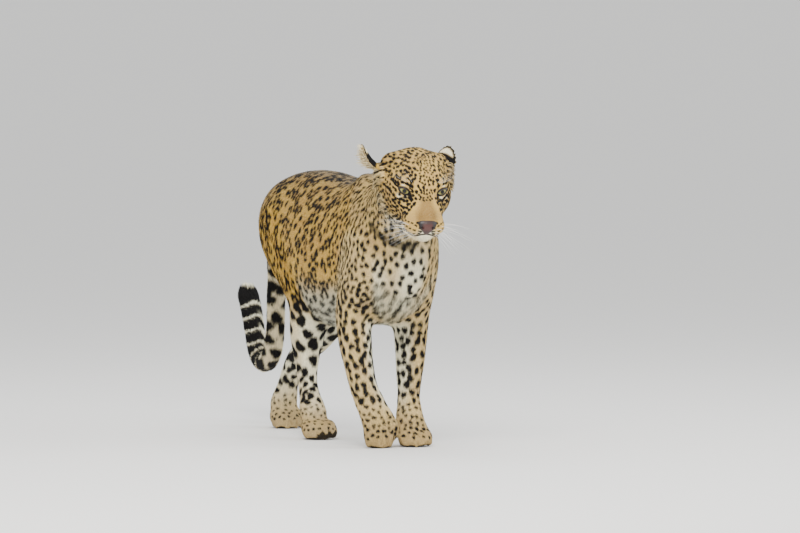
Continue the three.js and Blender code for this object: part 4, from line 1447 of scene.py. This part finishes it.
# Whiskers: long white bristles from the pads, in an arc back and down, with a few over each eye.
WHISKER = Finish("whisker")
whisker_material = WHISKER.finish(
    Base_Color=WHISKER.mixed(WHISKER.noise(60.0), paint(225, 222, 215), paint(250, 248, 242)),
    Roughness=0.4,
)
whiskers = []
for side in (1, -1):
    for row in range(4):
        for place in range(4):
            root = on_skin(side * (20 + 7 * place), 78 - 9 * place, -60 - 5 * row, -0.5)
            reach = seeded.uniform(58, 84) * (1 - 0.08 * row)
            spread = seeded.uniform(-0.12, 0.12)
            swept = 0.25 if side > 0 else -0.75
            forwards = swept - 0.2 * place + spread
            out = head_way(side * (0.9 - 0.05 * place), forwards, -0.24 * row + spread)
            hang = head_way(side * 0.2, -0.55, -0.75)
            line = []
            for i in range(9):
                t = i / 8
                place_at = root + (out * t + hang * 0.42 * t * t) * reach / 1000
                line.append((place_at, 0.34 * (1 - 0.8 * t)))
            whiskers.append(line)
    for i in range(4):
        root = on_skin(side * (28 + 5 * i), 14, 22, -0.5)
        out = head_way(side * (0.5 + 0.1 * i), 0.5, 0.9 - 0.1 * i)
        hang = head_way(side * 0.5, -0.6, 0.1)
        reach = seeded.uniform(26, 38)
        line = [
            (root + (out * t + hang * 0.3 * t * t) * reach / 1000, 0.22 * (1 - 0.8 * t))
            for t in (step / 6 for step in range(7))
        ]
        whiskers.append(line)
soft_cord("whiskers", whiskers, whisker_material)

# The ground is a plain pale floor under soft studio light, and the camera stands far off and low, at
# the height of the animal's shoulder, as with a long lens.
FLOOR_REACH = 400
ground = bmesh.new()
bmesh.ops.create_circle(ground, cap_ends=True, segments=96, radius=FLOOR_REACH)
ground_mesh = bpy.data.meshes.new("studio_floor")
ground.to_mesh(ground_mesh)
ground.free()
floor_finish = Finish("studio_floor")
ground_mesh.materials.append(floor_finish.finish(Base_Color=paint(240, 239, 236), Roughness=0.85))
floor = bpy.data.objects.new("studio_floor", ground_mesh)
bpy.context.scene.collection.objects.link(floor)

world = bpy.data.worlds.new("studio")
bpy.context.scene.world = world
world.use_nodes = True
world.node_tree.nodes["Background"].inputs["Color"].default_value = paint(243, 244, 245)
world.node_tree.nodes["Background"].inputs["Strength"].default_value = 1.16


def soft_light(name, place, target, size, watts, colour):
    lamp = bpy.data.lights.new(name, "AREA")
    lamp.shape = "DISK"
    lamp.size = size
    lamp.energy = watts
    lamp.color = colour
    holder = bpy.data.objects.new(name, lamp)
    holder.location = place
    holder.rotation_euler = (Vector(target) - Vector(place)).to_track_quat("-Z", "Y").to_euler()
    bpy.context.scene.collection.objects.link(holder)


soft_light("key", (-1.6, -3.4, 3.2), (0, -0.2, 0.4), 2.2, 215, (1.0, 0.98, 0.94))
soft_light("fill", (3.0, -2.4, 1.8), (0, -0.2, 0.4), 2.6, 60, (0.94, 0.97, 1.0))
soft_light("top", (0.2, 0.4, 3.4), (0, 0, 0.4), 2.8, 60, (1.0, 1.0, 1.0))

VIEW_AZIMUTH, VIEW_RISE = math.radians(-22), math.radians(3)
VIEW_DISTANCE = 22.0
FRAME_WIDTH = 800 / 450
view_right = Vector((math.cos(VIEW_AZIMUTH), math.sin(VIEW_AZIMUTH), 0))
view_up = Vector((
    -math.sin(VIEW_RISE) * math.sin(VIEW_AZIMUTH), math.sin(VIEW_RISE) * math.cos(VIEW_AZIMUTH),
    math.cos(VIEW_RISE),
))
to_camera = view_right.cross(view_up)
aim = withers_ground + view_right * 0.04 + view_up * 0.39667
lens = bpy.data.cameras.new("camera")
lens.sensor_width = 36
lens.lens = 36 * VIEW_DISTANCE / FRAME_WIDTH
lens.clip_end = 1000
camera = bpy.data.objects.new("camera", lens)
camera.location = aim + to_camera * VIEW_DISTANCE
camera.rotation_euler = Matrix((view_right, view_up, to_camera)).transposed().to_euler()
bpy.context.scene.collection.objects.link(camera)
bpy.context.scene.camera = camera
